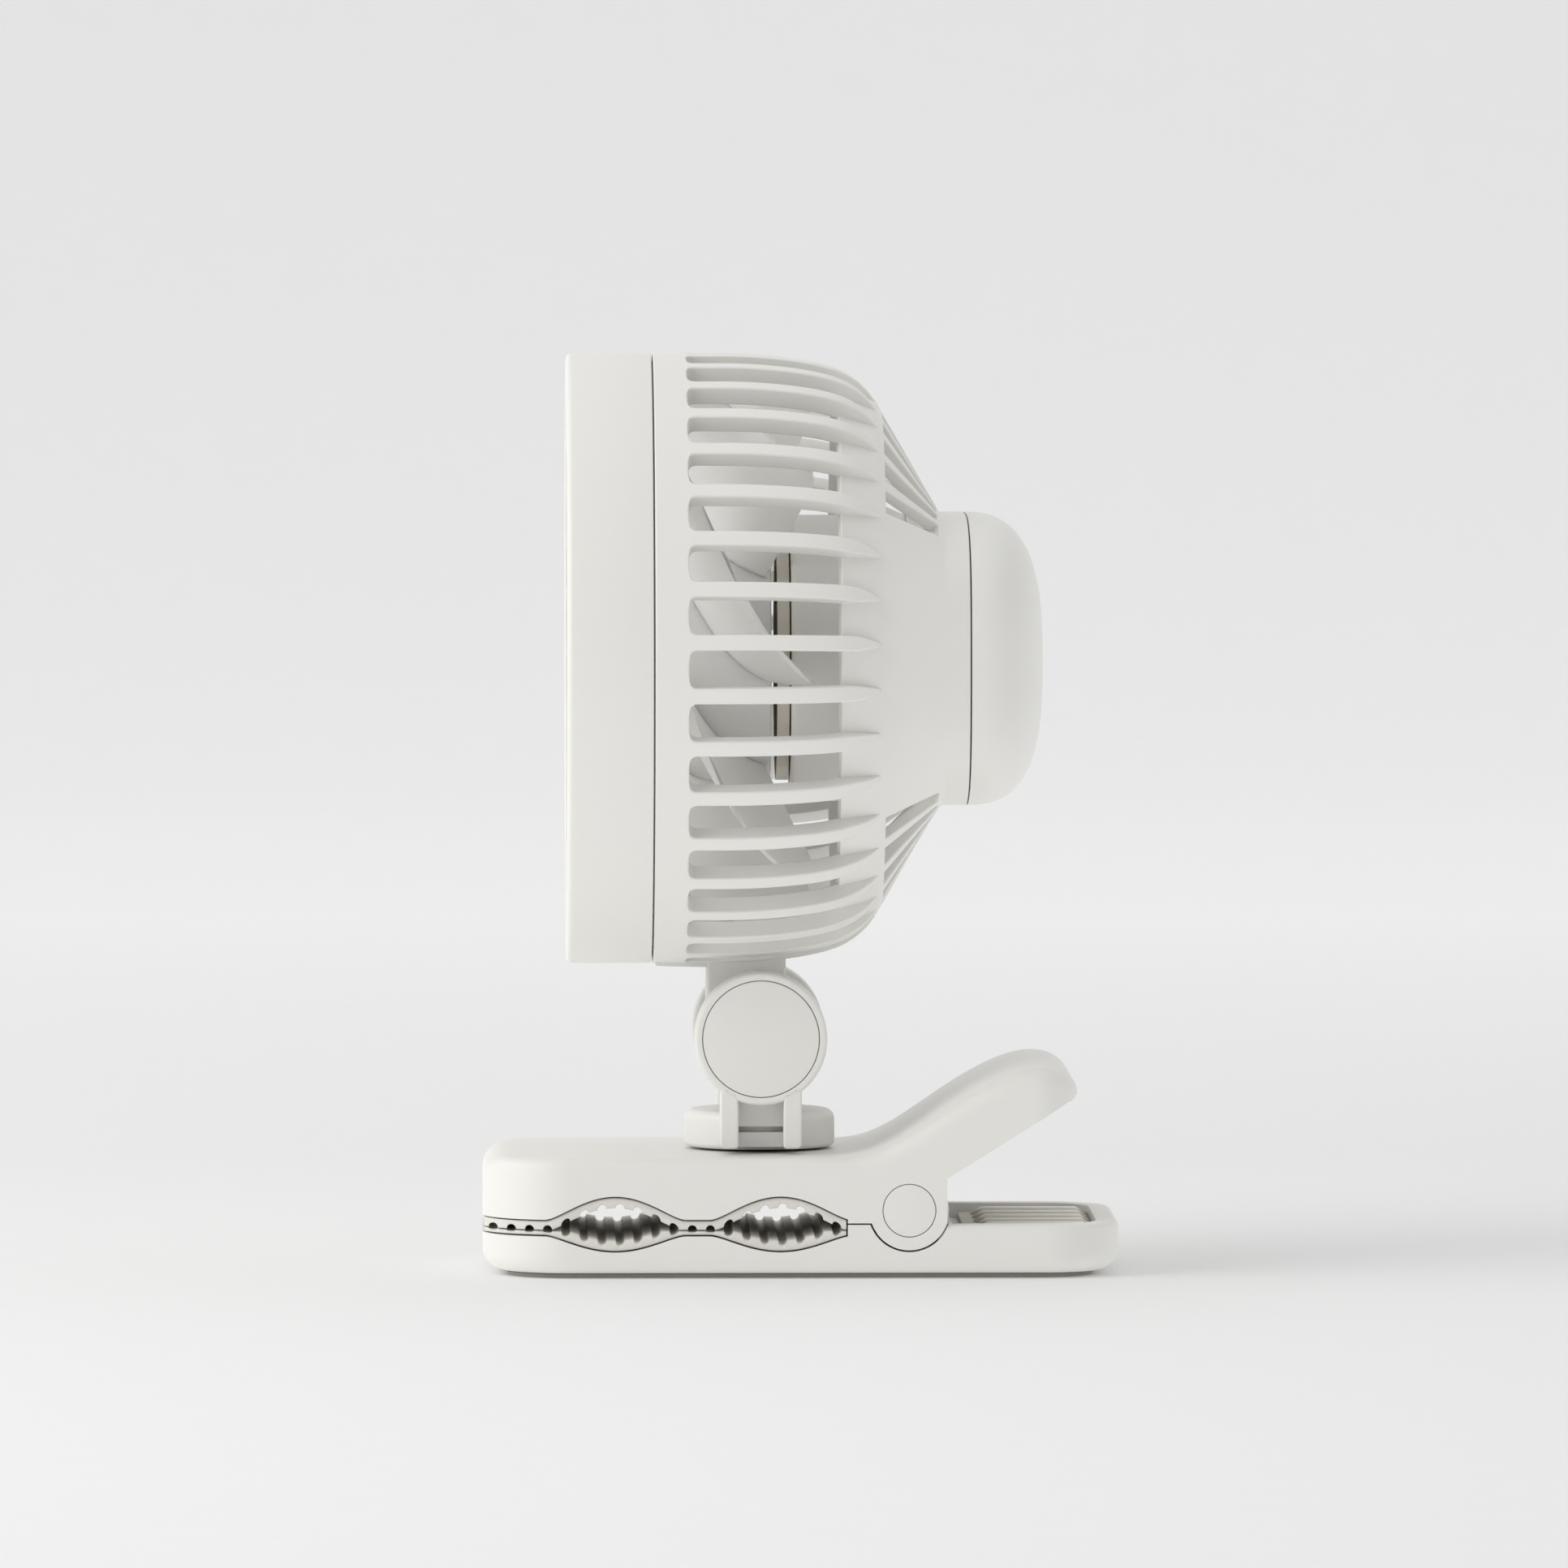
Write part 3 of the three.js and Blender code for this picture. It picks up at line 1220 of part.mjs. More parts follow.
// One blade: a thin twisted wall from the hub to the tip, leading edge at the front.
function blade(turn) {
  const along = 5;
  const out = 3;
  const root = IMPELLER_HUB_RADIUS - HUB_WALL / 2;
  const skin = (side) => {
    const rows = [];
    for (let i = 0; i <= out; i++) {
      const radius = lerp(root, BLADE_RADIUS, i / out);
      const front = lerp(BLADE_FRONT_X + BLADE_RAKE, BLADE_FRONT_X, i / out);
      const rear = lerp(HUB_REAR_X - BLADE_ROOT_INSET, BLADE_REAR_X, i / out);
      rows.push(
        Array.from({ length: along + 1 }, (_, k) => {
          const t = k / along;
          const swell = Math.sin(Math.PI * t);
          const sweep = BLADE_SWEEP * (t + BLADE_CURL * swell - (BLADE_LAG * i) / out);
          const thick = (side * BLADE_THICK * lerp(BLADE_EDGE, 1, swell)) / 2;
          const angle = radians(turn + sweep) + thick / radius;
          return [lerp(front, rear, t), -radius * Math.cos(angle), -radius * Math.sin(angle)];
        }),
      );
    }
    return rows;
  };
  const [upper, lower] = [skin(1), skin(-1)];
  const rings = upper.map((row, i) => [...row, ...lower[i].slice().reverse()]);
  return bladeBody(rings);
}

// Rings of a blade with both ends closed along the middle of the wall.
function bladeBody(rings) {
  const geometry = new THREE.BufferGeometry();
  const around = rings[0].length;
  const index = [];
  for (let i = 0; i + 1 < rings.length; i++)
    for (let j = 0; j < around; j++) {
      const [a, b] = [i * around + j, i * around + ((j + 1) % around)];
      index.push(a, a + around, b + around, a, b + around, b);
    }
  const last = (rings.length - 1) * around;
  for (let j = 0; j + 1 < around / 2; j++) {
    const [a, b, c, d] = [j, j + 1, around - 2 - j, around - 1 - j];
    index.push(a, b, c, a, c, d);
    index.push(last + a, last + c, last + b, last + a, last + d, last + c);
  }
  geometry.setAttribute("position", new THREE.Float32BufferAttribute(rings.flat(2), 3));
  geometry.setIndex(index);
  return solidOf(geometry);
}

const impeller = () =>
  join(
    impellerHub(),
    ...Array.from({ length: BLADE_COUNT }, (_, i) => blade((i * 360) / BLADE_COUNT + BLADE_START)),
  );

const motorShaft = () => bar("x", SHAFT_RADIUS, shaftFront(), shaftRear(), 16);

// Nut on the shaft's front end that holds the impeller.
function impellerNut() {
  const rear = HUB_FRONT_X - SEAT;
  const front = shaftFront() - 1.5;
  const bore = SHAFT_RADIUS + SEAT;
  return turned(
    [
      [front, 0],
      [front, 3],
      [front + 1, 5],
      [rear, 6],
      [rear, bore],
      [shaftFront() - SEAT, bore],
      [shaftFront() - SEAT, 0],
    ],
    "x",
  );
}

// ---------------------------------------------------------------- battery, board, button

function centredBlock(x, [sx, sy, sz]) {
  return block(x, x + sx, -sy / 2, sy / 2, -sz / 2, sz / 2);
}

const batteryPack = () => centredBlock(BATTERY_X, BATTERY_SIZE);

const controlBoard = () => centredBlock(BOARD_X, BOARD_SIZE);

// Push switch on the board, behind the button.
const buttonSwitch = () => centredBlock(BOARD_X + BOARD_SIZE[0] + SEAT, SWITCH_SIZE);

function usbSocket() {
  const [sx, sy, sz] = SOCKET_SIZE;
  const top = SOCKET_MOUTH_Z + sz;
  const body = block(socketX(), socketX() + sx, -sy / 2, sy / 2, SOCKET_MOUTH_Z, top);
  const wall = 0.5;
  const mouth = block(
    socketX() + wall,
    socketX() + sx - wall,
    -sy / 2 + wall,
    sy / 2 - wall,
    top - sz - 1,
    top - 1.5,
  );
  return cut(body, mouth);
}

function powerButton() {
  const face = REAR_X - BUTTON_RECESS;
  const inner = BOARD_X + BOARD_SIZE[0] + SWITCH_SIZE[0] + 2 * SEAT + BUTTON_TRAVEL;
  return turned(
    [
      [inner, 0],
      [inner, 1.6],
      [face - 2.6, 1.6],
      [face - 2.6, BUTTON_RADIUS],
      [face - 0.4, BUTTON_RADIUS],
      [face, BUTTON_RADIUS - 0.4],
      [face, 0],
    ],
    "x",
    36,
  );
}

// ---------------------------------------------------------------- the whole fan

const farSide = (mesh) => {
  mesh.rotation.z = Math.PI;
  return mesh;
};

function placed(mesh, x, y, z) {
  mesh.position.set(x, y, z);
  return mesh;
}

function lowerJaw() {
  return group(
    [0, 0, 0],
    piece("lower_jaw_shell", lowerJawShell(), plastic(WHITE)),
    piece("base_plate", basePlate(), plastic(WHITE)),
    piece("base_sole", baseSole(), plastic(0x8f8c86, 0.9)),
    piece("lower_pad", pad(-1), plastic(SOFT_GREY, 0.85)),
    piece("grip_insert", gripInsert(), plastic(0xbdb8ad, 0.7)),
    placed(piece("hinge_pin", hingePin(), metal(0xb8b8b8)), HINGE_X, 0, HINGE_Z),
    placed(piece("torsion_spring", torsionSpring(), metal(0x9a9a9a)), HINGE_X, 0, HINGE_Z),
    ...BASE_SCREW_X.map((x, i) => piece(`base_screw_${i + 1}`, baseScrew(x), metal(0xb8b8b8))),
  );
}

function upperJaw() {
  const cap = (name) => piece(name, roundCap(HINGE_CAP_RADIUS), plastic(WHITE));
  return group(
    [0, 0, 0],
    piece("upper_jaw_shell", upperJawShell(), plastic(WHITE)),
    piece("upper_jaw_plate", upperJawPlate(), plastic(WHITE)),
    piece("upper_pad", pad(1), plastic(SOFT_GREY, 0.85)),
    placed(cap("hinge_cap_near"), HINGE_X, -HALF_WIDTH, HINGE_Z),
    placed(farSide(cap("hinge_cap_far")), HINGE_X, HALF_WIDTH, HINGE_Z),
    ...PLATE_SCREW_X.map((x, i) => piece(`plate_screw_${i + 1}`, plateScrew(x), metal(0xb8b8b8))),
  );
}

function yoke() {
  const cap = (name) => piece(name, roundCap(YOKE_CAP_RADIUS), plastic(WHITE));
  const slip = (name) => piece(name, frictionWasher(), plastic(0x3a3a3a, 0.6));
  return group(
    [PIVOT_X, 0, 0],
    piece("swivel_yoke", swivelYoke(), plastic(WHITE)),
    piece("swivel_bolt", swivelBolt(), metal(0xb8b8b8)),
    piece("slip_washer", slipWasher(), plastic(0x3a3a3a, 0.6)),
    group(
      [0, 0, TILT_Z],
      placed(cap("yoke_cap_near"), 0, -EAR_OUTER, 0),
      placed(farSide(cap("yoke_cap_far")), 0, EAR_OUTER, 0),
      piece("tilt_bolt", tiltBolt(), metal(0xb8b8b8)),
      piece("tilt_nut", tiltNut(), metal(0xb8b8b8)),
      farSide(slip("friction_washer_near")),
      slip("friction_washer_far"),
    ),
  );
}

function neckGroup() {
  const [front, rear] = neckScrewPlaces();
  return group(
    [PIVOT_X, 0, TILT_Z],
    piece("neck", neck(), plastic(WHITE)),
    placed(piece("neck_screw_front", neckScrew(), metal(0xb8b8b8)), front, 0, 0),
    placed(piece("neck_screw_rear", neckScrew(), metal(0xb8b8b8)), rear, 0, 0),
  );
}

function head() {
  return group(
    [0, 0, HEAD_Z],
    piece("front_guard", frontGuard(), plastic(WHITE)),
    piece("guard_cap", guardCap(), plastic(WHITE)),
    piece("rear_shell", rearShell(), plastic(WHITE)),
    piece("rear_cap", rearCap(), plastic(WHITE)),
    piece("motor_plate", motorPlate(), plastic(0xcfc7b8)),
    piece("motor", motor(), metal(0x8a8a8a)),
    piece("motor_bearing", motorBearing(), metal(0xa8a29a)),
    piece("battery_pack", batteryPack(), plastic(0x6f8fb0, 0.4)),
    piece("control_board", controlBoard(), plastic(0x2f6b45, 0.5)),
    piece("button_switch", buttonSwitch(), plastic(0x2b2b2b, 0.5)),
    piece("usb_socket", usbSocket(), metal(0xb0b0b0)),
    piece("power_button", powerButton(), plastic(WHITE)),
    piece("impeller", impeller(), plastic(0xefede8, 0.4)),
    piece("motor_shaft", motorShaft(), metal(0xb8b8b8)),
    piece("impeller_nut", impellerNut(), plastic(WHITE)),
  );
}

const clipFan = group([0, 0, 0], lowerJaw(), upperJaw(), yoke(), neckGroup(), head());

export default clipFan;
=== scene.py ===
"""Looks of the clip fan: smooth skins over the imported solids, their finishes, light and camera.

Shapes are worked out in millimetres in the frame's own axes (-X is the blowing side, +Z up)
and turned into metres when a mesh is made.
"""
import math

import bmesh
import bpy
import numpy as np
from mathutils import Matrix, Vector


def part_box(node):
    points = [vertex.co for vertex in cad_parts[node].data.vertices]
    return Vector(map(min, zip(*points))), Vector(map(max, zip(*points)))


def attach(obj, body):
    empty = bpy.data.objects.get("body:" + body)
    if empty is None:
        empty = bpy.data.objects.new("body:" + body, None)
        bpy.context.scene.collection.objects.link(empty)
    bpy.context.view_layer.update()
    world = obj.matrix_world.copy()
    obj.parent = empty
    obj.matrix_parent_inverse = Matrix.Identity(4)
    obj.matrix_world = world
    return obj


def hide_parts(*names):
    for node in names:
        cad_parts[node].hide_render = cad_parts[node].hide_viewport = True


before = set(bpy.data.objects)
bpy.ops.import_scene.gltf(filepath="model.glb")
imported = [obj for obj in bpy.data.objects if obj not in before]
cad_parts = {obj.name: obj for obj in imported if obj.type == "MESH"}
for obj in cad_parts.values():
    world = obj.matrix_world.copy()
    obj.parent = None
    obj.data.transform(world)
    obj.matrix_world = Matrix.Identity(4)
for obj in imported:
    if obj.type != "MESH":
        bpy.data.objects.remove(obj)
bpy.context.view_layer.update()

MM = 0.001
MERGE = 2e-6
TAU = 2 * math.pi


def sides(node):
    """Lowest and highest corner of a CAD node, in millimetres."""
    low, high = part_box(node)
    return np.array(low) / MM, np.array(high) / MM


# --- sizes, mm

GUARD_LOW, GUARD_HIGH = sides("front_guard")
CAP_LOW, CAP_HIGH = sides("rear_cap")
JAW_LOW, JAW_HIGH = sides("lower_jaw_shell")
YOKE_LOW, YOKE_HIGH = sides("swivel_yoke")
EAR_CAP_LOW, EAR_CAP_HIGH = sides("yoke_cap_near")
PLATE_REAR_X = sides("motor_plate")[1][0]

SEAT = 0.3
HEAD_Z = (GUARD_LOW[2] + GUARD_HIGH[2]) / 2
HEAD_RADIUS = (GUARD_HIGH[2] - GUARD_LOW[2]) / 2
HEAD_FRONT_X = GUARD_LOW[0]
SEAM_X = GUARD_HIGH[0] + SEAT
SLOT_X = SEAM_X + 6.3
PANEL_X = SLOT_X + 28.3
SHOULDER_X = PANEL_X + 7.5
HUMP_X = SHOULDER_X + 12
CAP_X = CAP_LOW[0] - SEAT
REAR_X = CAP_HIGH[0] + 0.1
HUMP_HALF_HEIGHT = (CAP_HIGH[2] - CAP_LOW[2]) / 2
HUMP_HALF_WIDTH = (CAP_HIGH[1] - CAP_LOW[1]) / 2
CHEEK_HALF_WIDTH = HUMP_HALF_WIDTH + 1.3
SHOULDER_RADIUS = 48.4
RIB_COUNT = 36
RIB_WIDTH = 2.9
RIB_DEPTH = 3.6
DRUM_INNER = HEAD_RADIUS - RIB_DEPTH
SLOT_ROUND = 1.5

FRONT_X, TAIL_X = JAW_LOW[0], JAW_HIGH[0]
HALF_WIDTH = JAW_HIGH[1]
FRONT_CORNER = 16
REAR_CORNER = 14
JAW_TOP = 22.6
MOUTH_END_X = 8.6
UPPER_EDGE = 11.2
LOWER_EDGE = 8.05
BITE_Z = 9.15
TAIL_TOP = 10.2
EYE_X = (-34.9, -4.0)
EYE_HALF = 13
EYE_RISE = 4.35
EYE_DROP = 3.0
PAD_THICK = 1.9
TOOTH_PITCH = 3.38
TOOTH_RADIUS = 0.85
HINGE_X, HINGE_Z = 20.1, 12.86
HINGE_CENTRE = np.array([HINGE_X, 0, HINGE_Z])
BOSS_RADIUS = 7.42
EAR_REAR_X, EAR_REAR_Z = 27.2, 18.8
HANDLE_TIP_X, HANDLE_TIP_Z = 51.8, 34.9
HANDLE_LIP = 1.6
HANDLE_CORNER = 8
HINGE_CAP_RADIUS = 4.9
HINGE_HOLE = HINGE_CAP_RADIUS + 0.12

PIVOT_X = (YOKE_LOW[0] + YOKE_HIGH[0]) / 2
TILT_Z = (EAR_CAP_LOW[2] + EAR_CAP_HIGH[2]) / 2
EAR_RADIUS = YOKE_HIGH[2] - TILT_Z
EAR_INNER, EAR_OUTER = 11.4, YOKE_HIGH[1]
TURRET_Z = YOKE_LOW[2]
TURRET_RADIUS = (YOKE_HIGH[0] - YOKE_LOW[0]) / 2
TURRET_HEIGHT = 6.6


# --- meshes

def grid_faces(rows, columns, wrap_rows=False, wrap_columns=False):
    """Quads over a grid of rows by columns points, row after row."""
    r = np.arange(rows if wrap_rows else rows - 1)
    c = np.arange(columns if wrap_columns else columns - 1)
    r, c = (a.ravel() for a in np.meshgrid(r, c, indexing="ij"))
    r2, c2 = (r + 1) % rows, (c + 1) % columns
    return np.stack([r * columns + c, r2 * columns + c, r2 * columns + c2, r * columns + c2], 1)


def skin(points, wrap_rows=False, wrap_columns=False, caps=False, keep=None):
    """Points of a grid and the faces over it. keep is a mask of the faces that stay, and caps
    closes the first and last row with one face each."""
    rows, columns = points.shape[:2]
    faces = grid_faces(rows, columns, wrap_rows, wrap_columns)
    if keep is not None:
        faces = faces[np.asarray(keep).ravel()]
    faces = faces.tolist()
    if caps:
        last = (rows - 1) * columns
        faces.append(list(range(columns)))
        faces.append([last + i for i in reversed(range(columns))])
    return points.reshape(-1, 3), faces


def joined(parts):
    """Several (points, faces) as one."""
    points, faces, start = [], [], 0
    for p, f in parts:
        points.append(p)
        faces += [[i + start for i in face] for face in f]
        start += len(p)
    return np.concatenate(points), faces


def outward(part):
    """The same part with its faces pointing out, by the sign of the volume that they hold."""
    points, faces = part
    about = points - points.mean(0)
    quads = np.array([f for f in faces if len(f) == 4], int).reshape(-1, 4)
    triangles = [quads[:, [0, 1, 2]], quads[:, [0, 2, 3]]]
    for face in faces:
        if len(face) != 4:
            triangles.append(np.array([(face[0], b, c) for b, c in zip(face[1:-1], face[2:])]))
    a, b, c = about[np.concatenate(triangles).T]
    if np.einsum("ij,ij->", a, np.cross(b, c)) < 0:
        faces = [f[::-1] for f in faces]
    return points, faces


def sharpen_rims(mesh):
    """Marks open edges sharp, so that a wall's rim is shaded apart from its sides."""
    loops = np.empty(len(mesh.loops), np.int32)
    mesh.loops.foreach_get("edge_index", loops)
    sharp = np.empty(len(mesh.edges), bool)
    mesh.edges.foreach_get("use_edge_sharp", sharp)
    sharp |= np.bincount(loops, minlength=len(mesh.edges)) == 1
    mesh.edges.foreach_set("use_edge_sharp", sharp)


def piece(name, parts, material, body, replaces=(), wall=0.0, bevel=0.0, smooth=35):
    """One object of the scene from parts in mm: merged, walled, bevelled, and tied to its body."""
    points, faces = joined([outward(p) for p in parts])
    mesh = bpy.data.meshes.new(name)
    mesh.from_pydata((points * MM).tolist(), [], faces)
    made = bmesh.new()
    made.from_mesh(mesh)
    bmesh.ops.remove_doubles(made, verts=made.verts, dist=MERGE)
    bmesh.ops.dissolve_degenerate(made, edges=made.edges, dist=MERGE / 2)
    made.to_mesh(mesh)
    made.free()
    mesh.shade_smooth()
    mesh.materials.append(material)
    obj = bpy.data.objects.new(name, mesh)
    bpy.context.scene.collection.objects.link(obj)
    if wall:
        shell = obj.modifiers.new("wall", "SOLIDIFY")
        shell.thickness = wall * MM
        shell.offset = -1
        shell.use_even_offset = True
    if bevel:
        edge = obj.modifiers.new("edges", "BEVEL")
        edge.width = bevel * MM
        edge.segments = 2
        edge.limit_method = "ANGLE"
        edge.angle_limit = math.radians(40)
    mesh.set_sharp_from_angle(angle=math.radians(smooth))
    if wall:
        sharpen_rims(mesh)
    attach(obj, body)
    if replaces:
        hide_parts(*replaces)


# --- forms

def box_corners(x0, y0, x1, y1):
    return [(x0, y0), (x1, y0), (x1, y1), (x0, y1)]


def rounded(corners, radii, steps=5):
    """A closed outline whose corners are replaced by arcs of the given radii."""
    corners = np.asarray(corners, float)
    count = len(corners)
    radii = np.broadcast_to(np.asarray(radii, float), (count,))
    out = []
    for i in range(count):
        a, b, c = corners[i - 1], corners[i], corners[(i + 1) % count]
        u, v = (a - b) / np.linalg.norm(a - b), (c - b) / np.linalg.norm(c - b)
        half = math.acos(np.clip(u @ v, -1, 1)) / 2
        if radii[i] <= 0 or abs(half - math.pi / 2) < 1e-3:
            out.append(b[None])
            continue
        room = 0.49 * min(np.linalg.norm(a - b), np.linalg.norm(c - b))
        reach = min(radii[i] / math.tan(half), room)
        radius = reach * math.tan(half)
        centre = b + (u + v) / np.linalg.norm(u + v) * radius / math.sin(half)
        start, end = b + u * reach - centre, b + v * reach - centre
        a0, a1 = math.atan2(start[1], start[0]), math.atan2(end[1], end[0])
        turn = (a1 - a0 + math.pi) % TAU - math.pi
        t = a0 + turn * np.linspace(0, 1, steps + 1)
        out.append(centre + radius * np.stack([np.cos(t), np.sin(t)], 1))
    return np.concatenate(out)


def laid_out(axis, along, first, second, centre):
    """Points from places along an axis and in the plane across it, about a centre."""
    order = {"x": (along, first, second), "y": (first, along, second), "z": (first, second, along)}
    return np.stack(order[axis], 2) + np.array(centre, float)


def turned(profile, axis="x", centre=(0, 0, 0), around=144, closed=True):
    """A profile of (place along the axis, radius) carried round the axis. A closed profile
    makes a ring; one that starts and ends on the axis makes a disc."""
    profile = np.asarray(profile, float)
    t = np.linspace(0, TAU, around, endpoint=False)
    along = np.repeat(profile[:, :1], around, 1)
    right, up = profile[:, 1:] * np.cos(t), profile[:, 1:] * np.sin(t)
    points = laid_out(axis, along, right, up, centre)
    return skin(points, wrap_rows=closed, wrap_columns=True)


def soft_turned(profile, radii, axis, centre, around=96, steps=5):
    """A disc from a profile that starts and ends on the axis, with its corners rounded."""
    return turned(rounded(profile, radii, steps), axis, centre, around, closed=False)


def disc(low, high, radius, soft, axis, centre, around=144, bore=0.0):
    """A round plate with softened edges, with or without a bore."""
    corners = [(low, bore), (low, radius), (high, radius), (high, bore)]
    if bore:
        return turned(rounded(corners, [soft / 3, soft, soft, soft / 3]), axis, centre, around)
    return soft_turned(corners, [0, soft, soft, 0], axis, centre, around)


def outline_normals(outline):
    """Outward normals along a closed outline, from the directions of its neighbours."""
    ahead = np.roll(outline, -1, 0) - np.roll(outline, 1, 0)
    normals = np.stack([ahead[:, 1], -ahead[:, 0]], 1)
    normals /= np.linalg.norm(normals, axis=1, keepdims=True) + 1e-12
    x, y = outline.T
    area = np.sum(x * np.roll(y, -1) - np.roll(x, -1) * y)
    return normals if area > 0 else -normals


def slab(outline, low, high, soft, axis="y", centre=(0, 0, 0), steps=4):
    """An outline carried along an axis from low to high, drawn in by a quarter circle and a
    narrow flat at both ends. Outlines are (X, Z) for y and (X, Y) for z."""
    normals = outline_normals(outline)
    turn = np.linspace(0, math.pi / 2, steps + 1)
    inset = np.concatenate([[soft + 0.1], soft * (1 - np.sin(turn))])
    depth = np.concatenate([[0], soft * (1 - np.cos(turn))])
    insets = np.concatenate([inset, inset[::-1]])
    places = np.concatenate([low + depth, high - depth[::-1]])
    flat = outline[None] - normals[None] * insets[:, None, None]
    along = np.repeat(places[:, None], len(outline), 1)
    points = laid_out(axis, along, flat[..., 0], flat[..., 1], centre)
    return skin(points, wrap_columns=True, caps=True)


def soft_rect(width, height, radius, steps=2):
    """A rounded rectangle about the origin."""
    w, h = width / 2, height / 2
    return rounded(box_corners(-w, -h, w, h), min(radius, w * 0.98, h * 0.98), steps)


def swept(path, across, up, section, widths=1.0, heights=1.0):
    """A section carried along a path, laid out by the across and up directions at each point
    and scaled there by widths and heights."""
    path, across, up = (np.asarray(a, float) for a in (path, across, up))
    widths = np.broadcast_to(widths, len(path))[:, None, None]
    heights = np.broadcast_to(heights, len(path))[:, None, None]
    points = path[:, None] + across[:, None] * section[None, :, :1] * widths
    points = points + up[:, None] * section[None, :, 1:] * heights
    return skin(points, wrap_columns=True, caps=True)


def head_ring(angle, radius, x):
    """Points about the head's axis: angles from the top, a radius and a place along the axis."""
    across, up = radius * np.sin(angle), radius * np.cos(angle)
    return np.stack([x + np.zeros_like(across), across, HEAD_Z + up], -1)


HEAD_CENTRE = np.array([0, 0, HEAD_Z])


# --- shader maths

class Value:
    """A node socket that takes part in Python arithmetic by adding Math nodes."""

    def __init__(self, graph, socket):
        self.graph = graph
        self.socket = socket

    def math(self, operation, other):
        return self.graph.node("ShaderNodeMath", {"operation": operation}, {0: self, 1: other})

    def __add__(self, other): return self.math("ADD", other)
    def __sub__(self, other): return self.math("SUBTRACT", other)
    def __mul__(self, other): return self.math("MULTIPLY", other)


class Graph:
    """The nodes of one material or of the world."""

    def __init__(self, owner, shader="Principled BSDF", place="Object"):
        owner.use_nodes = True
        self.owner = owner
        self.tree = owner.node_tree
        self.shader = self.tree.nodes[shader]
        self.place = self.node("ShaderNodeTexCoord", out=place)

    def node(self, kind, settings=None, inputs=None, out=0):
        """Any node: its settings first, then the values or links of its sockets."""
        made = self.tree.nodes.new(kind)
        for key, value in (settings or {}).items():
            setattr(made, key, value)
        for key, value in (inputs or {}).items():
            self.put(made.inputs[key], value)
        return Value(self, made.outputs[out])

    def put(self, socket, value):
        if isinstance(value, Value):
            self.tree.links.new(value.socket, socket)
        else:
            socket.default_value = value

    def set(self, **values):
        """Sockets of the shader by name, with spaces written as underscores."""
        for key, value in values.items():
            self.put(self.shader.inputs[key.replace("_", " ")], value)

    def noise(self, scale, detail=3.0, stretch=(1, 1, 1)):
        place = self.node("ShaderNodeMapping", None, {"Vector": self.place, "Scale": stretch})
        inputs = {"Vector": place, "Scale": scale, "Detail": detail, "Roughness": 0.5}
        return self.node("ShaderNodeTexNoise", None, inputs, "Fac")

    def part(self, axis):
        """One coordinate of the place that is shaded."""
        return self.node("ShaderNodeSeparateXYZ", None, {"Vector": self.place}, axis)

    def ramp(self, value, start, end, first=0.0, last=1.0):
        """A value that goes from first to last while another goes from start to end."""
        return self.node("ShaderNodeMapRange", None, {0: value, 1: start, 2: end, 3: first, 4: last})

    def between(self, factor, first, second):
        """The colour that lies between two, by a factor."""
        pair = [c if isinstance(c, Value) else (*c, 1) for c in (first, second)]
        inputs = {0: factor, 6: pair[0], 7: pair[1]}
        return self.node("ShaderNodeMix", {"data_type": "RGBA"}, inputs, 2)

    def bump(self, height, strength, distance):
        inputs = {"Height": height, "Strength": strength, "Distance": distance * MM}
        return self.node("ShaderNodeBump", None, inputs, "Normal")


def linear(red, green, blue):
    """A colour as seen on a screen, 0 to 255, as the shader's linear values."""
    def one(v):
        v /= 255
        return v / 12.92 if v <= 0.04045 else ((v + 0.055) / 1.055) ** 2.4
    return one(red), one(green), one(blue)


def moulded(name, colour, darker, roughness, coat=0.0, glow=0.0, painted_highlight=None):
    """Moulded plastic: slow shifts of tone, a fine spark-eroded grain and uneven gloss. A given
    pair of heights in mm and a colour paint the part lighter between them: a painted highlight
    on the tops of ribs, standing for the light that falls on them."""
    g = Graph(bpy.data.materials.new(name))
    cloud = g.noise(18, 2)
    fine = g.noise(2600, 2)
    mottle = g.noise(420, 4)
    tone = g.between(cloud * 0.7 + mottle * 0.3, darker, colour)
    if painted_highlight:
        low, high, painted_highlight_colour = painted_highlight
        # Painted highlight: colour lighter with height, so rib tops read lit over shaded sides and
        # valleys.
        painted_highlight_mask = g.ramp(g.part("Z") + mottle * 0.2 * MM, low * MM, high * MM)
        tone = g.between(painted_highlight_mask, colour, painted_highlight_colour)
    g.set(Base_Color=tone, Roughness=(mottle - 0.5) * 0.16 + roughness)
    g.set(Normal=g.bump(fine + mottle * 0.5, 0.35, 0.03), IOR=1.47)
    if coat:
        g.set(Coat_Weight=coat, Coat_Roughness=0.25)
    if glow:
        g.set(Subsurface_Weight=glow, Subsurface_Radius=(1.0, 0.95, 0.9), Subsurface_Scale=4 * MM)
    return g.owner


def silicone(name, colour, darker):
    """Soft pad rubber: matt, slightly dusty, with a velvet edge."""
    g = Graph(bpy.data.materials.new(name))
    dust = g.noise(900, 4)
    cloud = g.noise(60, 3)
    g.set(Base_Color=g.between(cloud, darker, colour), Roughness=dust * 0.2 + 0.68)
    g.set(Normal=g.bump(dust, 0.3, 0.02), Sheen_Weight=0.15, Sheen_Roughness=0.5)
    return g.owner


def steel(name, colour, roughness, along=(1, 1, 1)):
    """Plated steel with fine turning marks and faint stains."""
    g = Graph(bpy.data.materials.new(name))
    marks = g.noise(1500, 3, along)
    stain = g.noise(120, 3)
    dark = tuple(c * 0.72 for c in colour)
    g.set(Base_Color=g.between(stain, dark, colour), Metallic=1.0)
    g.set(Roughness=marks * 0.2 + roughness, Normal=g.bump(marks, 0.25, 0.01))
    return g.owner


